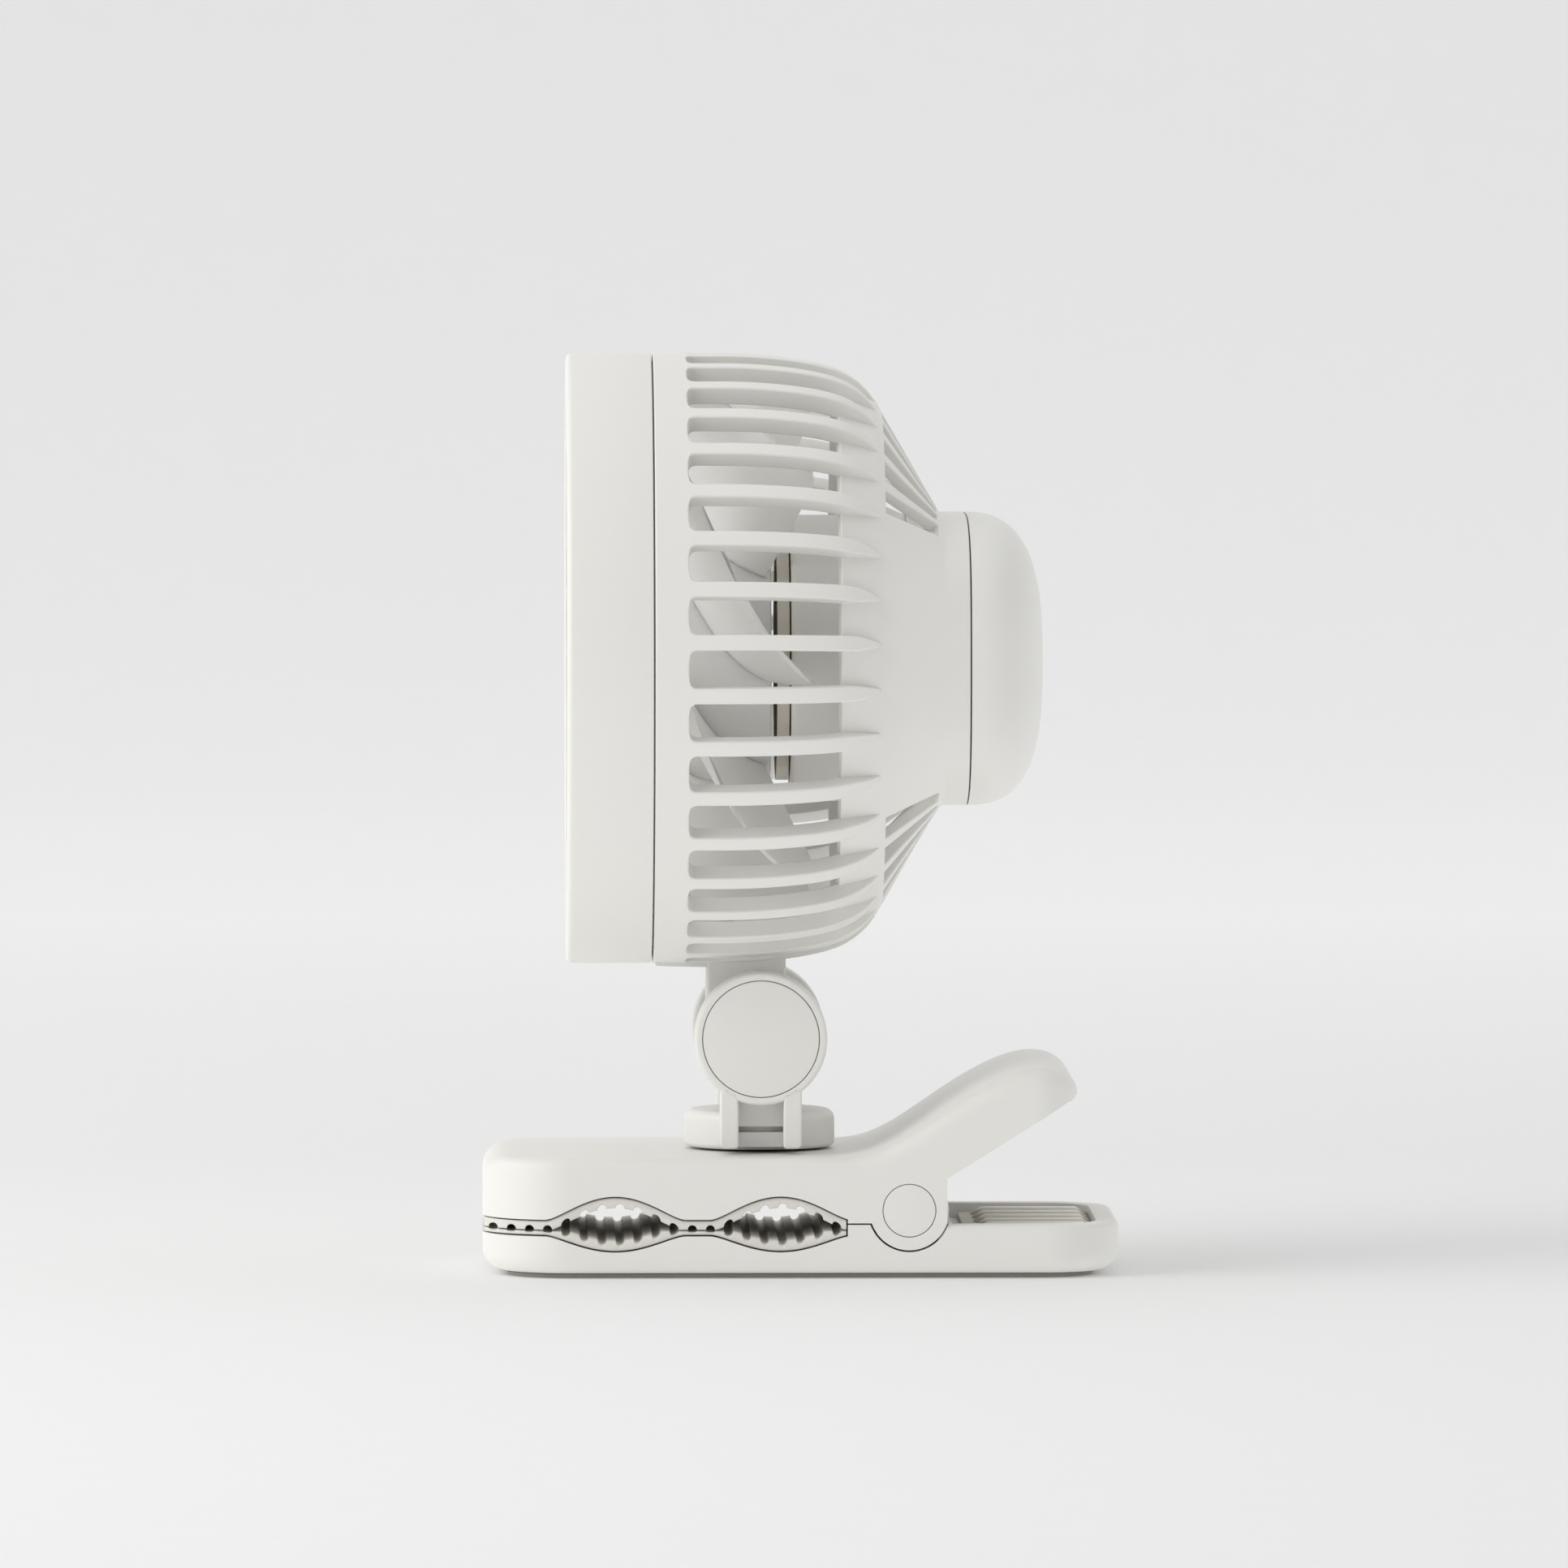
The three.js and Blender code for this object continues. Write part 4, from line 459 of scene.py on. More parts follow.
def board(name, colour):
    """Circuit board: solder mask over faint copper tracks."""
    g = Graph(bpy.data.materials.new(name))
    tracks = g.node("ShaderNodeTexBrick", None, {"Vector": g.place, "Scale": 220.0}, "Fac")
    light = tuple(min(1, c * 1.7 + 0.01) for c in colour)
    g.set(Base_Color=g.between(tracks * 0.6, colour, light), Roughness=g.noise(500) * 0.2 + 0.3)
    g.set(Normal=g.bump(tracks, 0.3, 0.05))
    return g.owner


SHELL = moulded("warm white plastic", linear(230, 229, 225), linear(226, 225, 220), 0.46)
# Blade and inner plastic are lighter copies of the shell's white: painted light that brightens the
# shaded inside of the drum.
BLADE_LIGHTENED = moulded("blade plastic painted lighter", linear(243, 242, 239), linear(238, 236, 232), 0.34, glow=0.5)
INNER_LIGHTENED = moulded("inner white plastic painted lighter", linear(243, 242, 238), linear(238, 236, 231), 0.5)
PAD = silicone("jaw pad silicone", linear(222, 220, 214), linear(214, 211, 204))
SOLE = silicone("sole rubber", linear(150, 147, 141), linear(138, 134, 127))
# Grip tray: base colour partly its own tan and partly painted shade of the ribs' sides and valleys; the
# rib tops get a painted highlight.
TRAY_PAINTED_LIGHT = moulded("grip tray plastic with painted shade and highlight", linear(186, 180, 169), linear(178, 171, 159), 0.5,
               painted_highlight=(9.3, 9.9, linear(240, 237, 230)))
TAN = moulded("motor plate plastic", linear(224, 219, 208), linear(216, 210, 198), 0.5)
STEEL = steel("plated steel", linear(196, 196, 198), 0.25)
SPRING = steel("spring wire", linear(168, 168, 170), 0.28)
CAN = steel("motor can", linear(170, 170, 172), 0.3, (1, 0.05, 0.05))
BLACK = moulded("black washer plastic", linear(52, 52, 54), linear(44, 44, 46), 0.5)
WRAP = moulded("battery film", linear(112, 142, 172), linear(104, 134, 166), 0.3, coat=0.4)
GREEN = board("board green", linear(46, 104, 68))
SOCKET = steel("socket shell", linear(200, 200, 204), 0.18)


# --- stage, light, camera

# How bright floor and backdrop glow for the camera, and the floor for the part above it.
FLOOR_LIFT, BACKDROP_LIFT = 0.02, 0.15
FLOOR_BOUNCE = 0.27
LIFT_START, LIFT_END = 0.3, 1.2
# The room's light: dimmer behind the camera and lower down, as (axis, start, end, first, last).
ROOM = (("Y", -1, 0, 0.55, 1.0), ("Z", 0, 1, 0.68, 0.98))
WINDOW_PLACE, WINDOW_POWER = (-1.1, -0.45, 0.72), 8.5
CAMERA_AIM = Vector((-2.76, 0, 91.3)) * MM
CAMERA_YAW, CAMERA_PITCH, CAMERA_REACH = math.radians(1.10), math.radians(2.64), 2.944
CAMERA_ANGLE = 2 * math.atan(966 / 19230)


def stage():
    """A pale floor that bends up into a backdrop: a flat sheet with one quarter circle."""
    bend, reach, front, depth, height = 600.0, 2600.0, -3600.0, 1700.0, 2600.0
    t = np.linspace(0, math.pi / 2, 33)
    y = np.concatenate([[front], depth + bend * np.sin(t), [depth + bend]])
    z = np.concatenate([[0], bend - bend * np.cos(t), [height]])
    x = np.linspace(-reach, reach, 3)[:, None] + 0 * y
    vertices, faces = skin(np.stack([x, y + 0 * x, z + 0 * x], 2))
    mesh = bpy.data.meshes.new("stage_floor")
    mesh.from_pydata((vertices * MM).tolist(), [], [f[::-1] for f in faces])
    mesh.shade_smooth()
    g = Graph(bpy.data.materials.new("pale paper"))
    paper = g.between(g.noise(90, 4), linear(231, 231, 231), linear(233, 233, 233))
    far = g.ramp(g.part("Y"), LIFT_START, LIFT_END)
    seen = g.between(far, (FLOOR_LIFT,) * 3, (BACKDROP_LIFT,) * 3)
    to_camera = g.node("ShaderNodeLightPath", out="Is Camera Ray")
    glow = g.between(to_camera, (FLOOR_BOUNCE,) * 3, seen)
    g.set(Base_Color=paper, Roughness=0.9, Emission_Color=glow, Emission_Strength=1.0)
    mesh.materials.append(g.owner)
    obj = bpy.data.objects.new("stage_floor", mesh)
    bpy.context.scene.collection.objects.link(obj)


def light_and_camera():
    """The room's soft light, one window, and the camera of the photograph."""
    scene = bpy.context.scene
    scene.view_settings.view_transform = "Standard"
    scene.world = bpy.data.worlds.new("soft room")
    room = Graph(scene.world, "Background", "Generated")
    behind, over = (room.ramp(room.part(axis), *limits) for axis, *limits in ROOM)
    room.set(Color=(1, 1, 1, 1), Strength=behind * over)
    window = bpy.data.lights.new("window", "AREA")
    window.shape, window.size, window.size_y = "RECTANGLE", 1.0, 1.0
    window.energy, window.color = WINDOW_POWER, (1, 0.995, 0.985)
    yaw, pitch = CAMERA_YAW, CAMERA_PITCH
    ahead = Vector((math.sin(yaw) * math.cos(pitch), math.cos(yaw) * math.cos(pitch), -math.sin(pitch)))
    camera = bpy.data.cameras.new("camera")
    camera.sensor_fit, camera.angle = "HORIZONTAL", CAMERA_ANGLE
    camera.clip_start, camera.clip_end = 0.1, 20
    for data, place, toward in (
        (window, Vector(WINDOW_PLACE), Vector((0, 0, 0.09)) - Vector(WINDOW_PLACE)),
        (camera, CAMERA_AIM - ahead * CAMERA_REACH, ahead),
    ):
        obj = bpy.data.objects.new(data.name, data)
        obj.location = place
        obj.rotation_euler = toward.to_track_quat("-Z", "Y").to_euler()
        scene.collection.objects.link(obj)
    scene.camera = obj


# --- head: front guard

GUARD_LIP = 4.4
GUARD_WALL = 2.1
VANE_COUNT = 30
VANE_SWEEP = 24
MID_RING = 33
GUARD_HUB = 15.5


def guard_vane(inner, outer, start, sweep):
    """A swirling bar: a straight radius whose angle grows with the distance out."""
    front = HEAD_FRONT_X + 0.5
    f = np.linspace(0, 1, 13)
    angle = np.radians(start + sweep * f)
    radius = inner + (outer - inner) * f
    flat = np.stack([radius * np.cos(angle), radius * np.sin(angle)], 1)
    path = np.stack([np.full(13, front + 1.6), flat[:, 0], flat[:, 1] + HEAD_Z], 1)
    ahead = np.gradient(flat, axis=0)
    ahead /= np.linalg.norm(ahead, axis=1, keepdims=True)
    across = np.stack([np.zeros(13), -ahead[:, 1], ahead[:, 0]], 1)
    up = np.tile([1.0, 0, 0], (13, 1))
    return swept(path, across, up, soft_rect(1.5, 2.9, 0.45))


def front_guard():
    """Ring, hub and cap turned about the head's axis, with the swept bars between them."""
    lip = HEAD_RADIUS - GUARD_LIP
    inner = HEAD_RADIUS - GUARD_WALL
    rear = SEAM_X - SEAT
    corners = [
        (HEAD_FRONT_X, lip), (HEAD_FRONT_X, HEAD_RADIUS), (rear, HEAD_RADIUS), (rear, inner),
        (HEAD_FRONT_X + GUARD_WALL, inner), (HEAD_FRONT_X + GUARD_WALL, lip),
    ]
    ring = turned(rounded(corners, [0.5, 1.1, 0.18, 0.2, 0.4, 0.4], 6), "x", HEAD_CENTRE, 288)
    rim = lip + 0.6
    split = VANE_SWEEP * (MID_RING - GUARD_HUB) / (rim - GUARD_HUB)
    step = 360 / VANE_COUNT
    parts = [ring]
    for i in range(VANE_COUNT):
        parts.append(guard_vane(MID_RING, rim, i * step + split, VANE_SWEEP - split))
        if i % 2 == 0:
            parts.append(guard_vane(GUARD_HUB - 0.6, MID_RING, i * step, split))
    front = HEAD_FRONT_X + 0.5
    parts.append(disc(front, front + 3, MID_RING + 0.9, 0.45, "x", HEAD_CENTRE, 144, MID_RING - 0.9))
    hub = [
        (front + 3, 0), (front + 3, GUARD_HUB), (front, GUARD_HUB), (front, 12.8),
        (front + 1.8, 12.8), (front + 1.8, 0),
    ]
    parts.append(soft_turned(hub, [0, 0.4, 0.4, 0.3, 0, 0], "x", HEAD_CENTRE))
    piece("guard_ring_and_vanes", parts, SHELL, "head", ["front_guard"])
    cap = [(front + 1.5, 0), (front + 1.5, 12.5), (front, 12.5), (front + 0.25, 6), (front + 0.35, 0)]
    part = soft_turned(cap, [0, 0, 0.5, 4, 0], "x", HEAD_CENTRE)
    piece("guard_centre_cap", [part], SHELL, "head", ["guard_cap"])


# --- head: rear shell

def drum_radius(x):
    """The drum's outside: straight, then a long curve that tightens to the shoulder."""
    start = SLOT_X + 6.3
    t = np.clip((np.asarray(x, float) - start) / (SHOULDER_X - start), 0, 1)
    return HEAD_RADIUS - (HEAD_RADIUS - SHOULDER_RADIUS) * (0.47 * t**2 + 0.53 * t**8)


def hump_radius(angle, half_height, half_width):
    """Radius of a soft rectangle (a cubic superellipse) at an angle from the top."""
    up = (np.abs(np.cos(angle)) / half_height) ** 3
    side = (np.abs(np.sin(angle)) / half_width) ** 3
    return (up + side) ** (-1 / 3)


def drum_cage():
    """Band and ribs of the drum: a grid of lines along the axis whose slot edges close up in
    quarter circles at the band and run out to a point at the shoulder; slot faces are left out."""
    first = np.linspace(SEAM_X, SLOT_X, 5)[:-1]
    corner = SLOT_X + SLOT_ROUND * np.array([0, 0.08, 0.2, 0.4, 0.65, 1.0])
    rest = np.concatenate([np.linspace(SLOT_X + 3, 2, 12), np.linspace(3.5, SHOULDER_X - 0.1, 14)])
    x = np.concatenate([first, corner, rest])
    radius = drum_radius(x)
    step = TAU / RIB_COUNT
    half_slot = (HEAD_RADIUS * step - RIB_WIDTH) / 2
    inside = np.clip((x - SLOT_X) / SLOT_ROUND, 0, 1)
    width = half_slot - SLOT_ROUND + SLOT_ROUND * np.sqrt(1 - (1 - inside) ** 2)
    half_rib = RIB_WIDTH / 2 * (1 - 0.72 * np.clip((x - 9) / (SHOULDER_X - 9), 0, 1) ** 1.5)
    open_width = radius * step / 2 - half_rib
    width = np.where(x > SLOT_X + SLOT_ROUND, open_width, width)
    edge = width / radius
    lines = [edge * share for share in (-1, -0.5, 0, 0.5, 1)]
    lines += [edge + (step - 2 * edge) * share for share in (0.33, 0.67)]
    per = len(lines)
    offsets = np.stack(lines, 1)
    angle = (np.arange(RIB_COUNT) * step)[None, :, None] + offsets[:, None, :]
    angle = angle.reshape(len(x), -1)
    points = head_ring(angle, radius[:, None], x[:, None])
    column = np.arange(RIB_COUNT * per) % per
    in_slot = column < 4
    behind = (x[:-1] >= SLOT_X - 1e-6)[:, None]
    keep = ~(behind & in_slot[None, :])
    return skin(points, wrap_columns=True, keep=keep)


def housing():
    """Panel ring, slope, cheeks and hump: rings that blend from a circle to a soft rectangle,
    with radial slots left out at the top and the bottom of the slope."""
    sunk = drum_radius(PANEL_X) - 3.1
    step = TAU / RIB_COUNT
    half = math.radians(3.35)
    lines = []
    for k in range(RIB_COUNT):
        lines += [k * step - half, k * step, k * step + half, (k + 0.5) * step]
    angle = np.array(lines)
    rows = []
    ring_x = np.concatenate([np.linspace(PANEL_X, SHOULDER_X, 9), [SHOULDER_X + 0.7]])
    slope = np.concatenate([np.linspace(SHOULDER_X + 1.1, HUMP_X - 0.9, 12), [HUMP_X - 0.3, HUMP_X]])
    tail = np.linspace(HUMP_X + 0.8, CAP_X, 6)
    places = np.concatenate([ring_x, slope, tail])
    for x in places:
        if x <= SHOULDER_X:
            t = (x - PANEL_X) / (SHOULDER_X - PANEL_X)
            radius = np.full(len(angle), sunk + (SHOULDER_RADIUS - sunk) * (0.69 * t + 0.31 * t**3))
        elif x <= HUMP_X:
            t = (x - SHOULDER_X) / (HUMP_X - SHOULDER_X)
            target = hump_radius(angle, HUMP_HALF_HEIGHT, CHEEK_HALF_WIDTH)
            radius = SHOULDER_RADIUS + (target - SHOULDER_RADIUS) * t
        else:
            t = (x - HUMP_X) / (CAP_X - HUMP_X)
            wide = CHEEK_HALF_WIDTH + (HUMP_HALF_WIDTH - CHEEK_HALF_WIDTH) * t
            radius = hump_radius(angle, HUMP_HALF_HEIGHT, wide)
        rows.append(head_ring(angle, radius, x))
    column = np.arange(len(angle))
    near_slot = np.isin(column % 4, (0, 1))
    turn = np.degrees(angle[column - column % 4] + half)
    from_pole = np.minimum(np.abs((turn + 180) % 360 - 180), np.abs((turn % 360) - 180))
    slotted = near_slot & (from_pole < 52)
    between = ((places[:-1] > SHOULDER_X + 1) & (places[1:] < HUMP_X - 0.5))[:, None]
    keep = ~(between & slotted[None, :])
    return skin(np.stack(rows), wrap_columns=True, keep=keep)


CUP_RADIUS = 25.5
CUP_OUTER = 27
BULKHEAD_X, BULKHEAD_THICK = 20, 2


def motor_cup():
    """Cup and bulkhead inside the housing, turned."""
    corners = [
        (PLATE_REAR_X + SEAT, 4.3), (PLATE_REAR_X + SEAT, CUP_OUTER), (BULKHEAD_X, CUP_OUTER),
        (BULKHEAD_X, CUP_OUTER + 0.35), (BULKHEAD_X + 4, CUP_OUTER + 0.35), (BULKHEAD_X + 4, 25),
        (0, 25), (0, 4.3),
    ]
    return turned(rounded(corners, [0.1, 1.2, 0, 0, 0, 0, 0.5, 0.1]), "x", HEAD_CENTRE, 144)


def bulkhead():
    """Wall behind the slots: rings between the cup and the hump's soft rectangle."""
    angle = np.linspace(0, TAU, 180, endpoint=False)
    hump = hump_radius(angle, HUMP_HALF_HEIGHT - 0.35, CHEEK_HALF_WIDTH - 0.8)
    rows = []
    front, rear, end = BULKHEAD_X, BULKHEAD_X + BULKHEAD_THICK, HUMP_X - 0.4
    for x, share in ((front, 0), (front, 1), (end, 1), (end, 0.8), (rear, 0.8), (rear, 0)):
        rows.append(head_ring(angle, CUP_RADIUS + (hump - CUP_RADIUS) * share, x))
    return skin(np.stack(rows), wrap_rows=True, wrap_columns=True)


def rear_shell():
    """Drum and housing as walled skins; cup, bulkhead and the spigot in the guard as solids."""
    spigot = box_corners(SEAM_X - 3, DRUM_INNER, SEAM_X + 1, HEAD_RADIUS - GUARD_WALL - SEAT)
    piece("drum_band_and_ribs", [drum_cage()], SHELL, "head",
          ["rear_shell"], wall=RIB_DEPTH, bevel=0.28)
    piece("rear_housing", [housing()], SHELL, "head", wall=2.2, bevel=0.25)
    inner = [motor_cup(), bulkhead(), turned(rounded(spigot, 0.3), "x", HEAD_CENTRE, 144)]
    piece("motor_cup", inner, INNER_LIGHTENED, "head")


# --- head: rear cap and button

BUTTON_RADIUS = 6.0
CAP_ANGLES = np.linspace(0, TAU, 240, endpoint=False)


def cap_rings(inset, places, hole):
    """Rings of a soft rectangular dome: both half sizes fall off with the depth, by powers."""
    depth = REAR_X - inset - CAP_X
    rows = []
    for t in places:
        fall = max(1 - t**2.7, 0)
        high = (HUMP_HALF_HEIGHT - inset) * fall ** (1 / 3)
        wide = (HUMP_HALF_WIDTH - inset) * fall ** (1 / 4.2)
        radius = np.maximum(hump_radius(CAP_ANGLES, max(high, 1e-3), max(wide, 1e-3)), hole)
        rows.append(head_ring(CAP_ANGLES, radius, CAP_X + depth * t))
    return rows


def rear_cap():
    """Deep lid: the dome outside, the edge of the button's hole, and the dome again inside."""
    rim = 0.2 / (REAR_X - CAP_X)
    places = 1 - (1 - rim) * (1 - np.linspace(0, 1, 40)) ** 2.2
    hole = BUTTON_RADIUS + SEAT
    outside = cap_rings(0, places[:-1], hole)
    for grow, back in ((0.6, 0.1), (0.15, 0.2), (0, 0.5), (0, 3)):
        outside.append(head_ring(CAP_ANGLES, hole + grow, REAR_X - back))
    inside = cap_rings(2.0, places[: -6 : 3], hole)[::-1]
    part = skin(np.stack(outside + inside), wrap_rows=True, wrap_columns=True)
    piece("housing_cap", [part], SHELL, "head", ["rear_cap"], smooth=40)


def power_button():
    """Push button: a dished face on a stem, turned."""
    face = REAR_X - 0.3
    low = sides("power_button")[0][0]
    profile = [(low, 0), (low, 1.6), (face - 2.6, 1.6), (face - 2.6, BUTTON_RADIUS),
               (face, BUTTON_RADIUS), (face - 0.5, 3.0), (face - 0.6, 0)]
    part = soft_turned(profile, [0, 0.2, 0, 0.2, 0.5, 3, 0], "x", HEAD_CENTRE, steps=8)
    piece("power_push_button", [part], SHELL, "button", ["power_button"])


# --- fan

BLADE_COUNT = 7
HUB_RADIUS = 23.0
HUB_FRONT_X, HUB_REAR_X = -28.0, -5.5
BLADE_RADIUS = 50.3


def blade(turn):
    """A twisted wall: rows from hub to tip, each an arc whose angle grows from the leading to
    the trailing edge, thick in the middle and thin at both edges."""
    out_steps, along_steps = 15, 25
    share = np.linspace(0, 1, out_steps)[:, None]
    t = np.linspace(0, 1, along_steps)[None]
    radius = HUB_RADIUS - 0.9 + (BLADE_RADIUS - HUB_RADIUS + 0.9) * share
    tip_round = np.clip((share - 0.8) / 0.2, 0, 1) ** 2
    front = -22.5 - 3.0 * share + 3.5 * tip_round
    rear = -7.0 + 11.0 * share - 3.0 * tip_round
    x = front + (rear - front) * t
    sweep = np.radians(turn + 50 * (t + 0.16 * np.sin(math.pi * t) - 0.1 * share))
    thick = 1.5 * (0.35 + 0.65 * np.sin(math.pi * t) ** 0.7) / 2
    skins = []
    for side in (1, -1):
        angle = sweep + side * thick / radius
        across, up = -radius * np.cos(angle), -radius * np.sin(angle)
        skins.append(np.stack([x + 0 * angle, across, HEAD_Z + up], 2))
    ring = np.concatenate([skins[0], skins[1][:, ::-1]], 1)
    return skin(ring, wrap_columns=True, caps=True)


def fan():
    """Hollow hub and cap nut, turned, with the blades set round the hub."""
    r = HUB_RADIUS
    hub = [
        (HUB_FRONT_X, 1.9), (HUB_FRONT_X, r * 0.62), (HUB_FRONT_X + 4.5, r), (HUB_REAR_X, r),
        (HUB_REAR_X, r - 1.8), (HUB_FRONT_X + 5.5, r - 1.8), (HUB_FRONT_X + 2.4, r * 0.66),
        (HUB_FRONT_X + 2.4, 5), (HUB_REAR_X - 0.4, 5), (HUB_REAR_X - 0.4, 1.9),
    ]
    parts = [turned(rounded(hub, [0.2, 4, 3, 0.4, 0.3, 1, 1, 0.5, 0.5, 0.2], 8), "x", HEAD_CENTRE, 168)]
    parts += [blade(360 / BLADE_COUNT * i - 42) for i in range(BLADE_COUNT)]
    piece("impeller_moulding", parts, BLADE_LIGHTENED, "fan", ["impeller"])
    low, high = sides("impeller_nut")
    nose = [(low[0], 0), (low[0], 3), (low[0] + 1, 5.2), (high[0], 6), (high[0], 1.9),
            (low[0] + 1.2, 1.9), (low[0] + 1.2, 0)]
    part = soft_turned(nose, [0, 1, 0.8, 0.2, 0, 0, 0], "x", HEAD_CENTRE, 72)
    piece("impeller_cap_nut", [part], SHELL, "fan", ["impeller_nut"])


# --- neck and yoke

NECK_HALF = 6.2
SADDLE_INSET = 0.15
STEM_FRONT_X, STEM_REAR_X = PIVOT_X - 10.1, PIVOT_X + 4.9


def neck():
    """Saddle under the drum, stem and knuckle: side outlines carried across the neck."""
    foot = HEAD_Z - HEAD_RADIUS + 0.5
    saddle = rounded([
        (SEAM_X + 0.5, foot - 0.8), (STEM_FRONT_X - 3, foot - 1.0), (STEM_REAR_X, foot - 1.2),
        (STEM_REAR_X, foot + 0.9), (SEAM_X + 0.5, foot + 0.9),
    ], [0.3, 4, 0.3, 0.2, 0.2])
    stem = rounded(box_corners(STEM_FRONT_X, TILT_Z + 3, STEM_REAR_X, foot + 1.2), [1.2, 1.2, 0.9, 0.9])
    parts = [
        slab(saddle, SADDLE_INSET - NECK_HALF, NECK_HALF - SADDLE_INSET, 0.08),
        slab(stem, -NECK_HALF, NECK_HALF, 0.7),
        disc(-10.2, 10.2, 10.5, 0.6, "y", (PIVOT_X, 0, TILT_Z), 96, 2.8),
    ]
    piece("neck_saddle_and_knuckle", parts, SHELL, "head", ["neck"])


LEG_INNER, LEG_OUTER = 4.2, 7.65
LEG_LIFT = 0.3
WEB_FACE = 16.2
SLIT_DEPTH = 4.4
TURRET_SINK = 0.45
SLIT_LOW, SLIT_HIGH = TURRET_Z + 3.1, TURRET_Z + 4.15
EAR_CAP_RADIUS = 10.9


def arc_points(radius, start, end, count):
    """Points of an arc about the origin between two angles."""
    t = np.linspace(start, end, count)
    return np.stack([radius * np.cos(t), radius * np.sin(t)], 1)


def ear_outline():
    """Disc on two legs, seen from the side: the disc's arcs joined by the legs' sides."""
    drop = TILT_Z - TURRET_Z - LEG_LIFT
    hip = math.asin(LEG_OUTER / EAR_RADIUS)
    crotch = math.asin(LEG_INNER / EAR_RADIUS)
    over = arc_points(EAR_RADIUS, hip - math.pi / 2, 3 * math.pi / 2 - hip, 97)
    under = arc_points(EAR_RADIUS, -math.pi / 2 - crotch, -math.pi / 2 + crotch, 15)
    left = rounded([(-LEG_OUTER, -10.5), (-LEG_OUTER, -drop), (-LEG_INNER, -drop), (-LEG_INNER, -12.2)],
                   [0, 0.9, 0.7, 0])
    right = left[::-1] * (-1, 1)
    return np.concatenate([over, left, under, right])


def leg_outline(side):
    """One leg's front, from its foot up to the arc where it runs into the ear's rim."""
    drop = TILT_Z - TURRET_Z - LEG_LIFT
    rim = EAR_CAP_RADIUS + 0.42
    inner, outer = (math.asin(x / rim) - math.pi / 2 for x in (LEG_INNER + 0.2, LEG_OUTER - 1))
    foot = rounded([(LEG_INNER, -13), (LEG_INNER, -drop), (LEG_OUTER, -drop), (LEG_OUTER, -10)],
                   [0, 0.7, 0.9, 0])
    outline = np.concatenate([foot, arc_points(rim, outer, inner, 7)])
    return outline * (side, 1)


def side_caps(name, node, body, centre, size, inset, soft, around):
    """Round caps in both sides of a joint, turned. size is the part's half width there and the
    caps' radius; inset says how far a cap lies below that width at its rim and its middle."""
    (outer, radius), (rim, middle) = size, inset
    for side, sign in (("near", -1), ("far", 1)):
        depths = [(outer - 1.5, 0), (outer - 1.5, radius), (outer - rim, radius), (outer - middle, 0)]
        profile = np.array(depths) * (sign, 1)
        part = soft_turned(profile, [0, 0, soft, 0], "y", centre, around, 6)
        piece(f"{name}_{side}", [part], SHELL, body, [f"{node}_{side}"])


def yoke():
    """Turret, two discs on legs, the raised rims round the caps, and the slit web between the
    legs; then the two caps."""
    top = TURRET_Z + TURRET_HEIGHT
    centre = (PIVOT_X, 0, 0)
    low = TURRET_Z - TURRET_SINK
    turret = [(low, 0), (low, TURRET_RADIUS), (top, TURRET_RADIUS), (top, 0)]
    parts = [soft_turned(turret, [0, 1.0, 1.9, 0], "z", centre, 144, 8)]
    at = (PIVOT_X, 0, TILT_Z)
    seat = EAR_OUTER - 1.8
    web_top = TILT_Z - EAR_RADIUS + 1
    hole = EAR_CAP_RADIUS + 0.13
    outline = ear_outline()
    rim = [(seat - 0.6, hole), (seat - 0.6, EAR_RADIUS), (EAR_OUTER, EAR_RADIUS), (EAR_OUTER, hole)]
    ring = rounded(rim, [0, 0, 0.95, 0.08], 6)
    for sign in (1, -1):
        low, high = sorted((sign * EAR_INNER, sign * seat))
        parts.append(slab(outline, low, high, 0.5, "y", at))
        parts.append(turned(ring * (sign, 1), "y", at, 144))
        low, high = sorted((sign * (seat - 1), sign * EAR_OUTER))
        for side in (-1, 1):
            parts.append(slab(leg_outline(side), low, high, 0.4, "y", at))
        for z0, z1, face in ((TURRET_Z + LEG_LIFT, SLIT_LOW, WEB_FACE), (SLIT_HIGH, web_top, WEB_FACE),
                             (SLIT_LOW - 0.5, SLIT_HIGH + 0.5, WEB_FACE - SLIT_DEPTH)):
            web = rounded(box_corners(-LEG_INNER - 0.5, z0, LEG_INNER + 0.5, z1), 0.3, 2)
            low, high = sorted((sign * EAR_INNER, sign * face))
            parts.append(slab(web, low, high, 0.1, "y", centre))
    piece("yoke_body", parts, SHELL, "yoke", ["swivel_yoke"])
    side_caps("yoke_disc", "yoke_cap", "yoke", at, (EAR_OUTER, EAR_CAP_RADIUS), (0.02, 0.1), 0.25, 144)


# --- clip

def eye(x):
    """0 on the straight bite and 1 in the middle of an eye, with soft ends."""
    x = np.asarray(x, float)
    rises = [np.clip(1 - ((x - m) / EYE_HALF) ** 2, 0, None) ** 1.5 for m in EYE_X]
    return np.maximum(*rises)


def upper_edge(x):
    """Height of the upper jaw's lower edge in the mouth."""
    return UPPER_EDGE + EYE_RISE * eye(x)


def lower_edge(x):
    """Height of the lower jaw's upper edge in the mouth."""
    return LOWER_EDGE - EYE_DROP * eye(x)


def bezier(a, b, c, d, count):
    """Points of a cubic Bezier curve."""
    t = np.linspace(0, 1, count)[:, None]
    a, b, c, d = (np.array(p, float) for p in (a, b, c, d))
    return (1 - t) ** 3 * a + 3 * (1 - t) ** 2 * t * b + 3 * (1 - t) * t**2 * c + t**3 * d


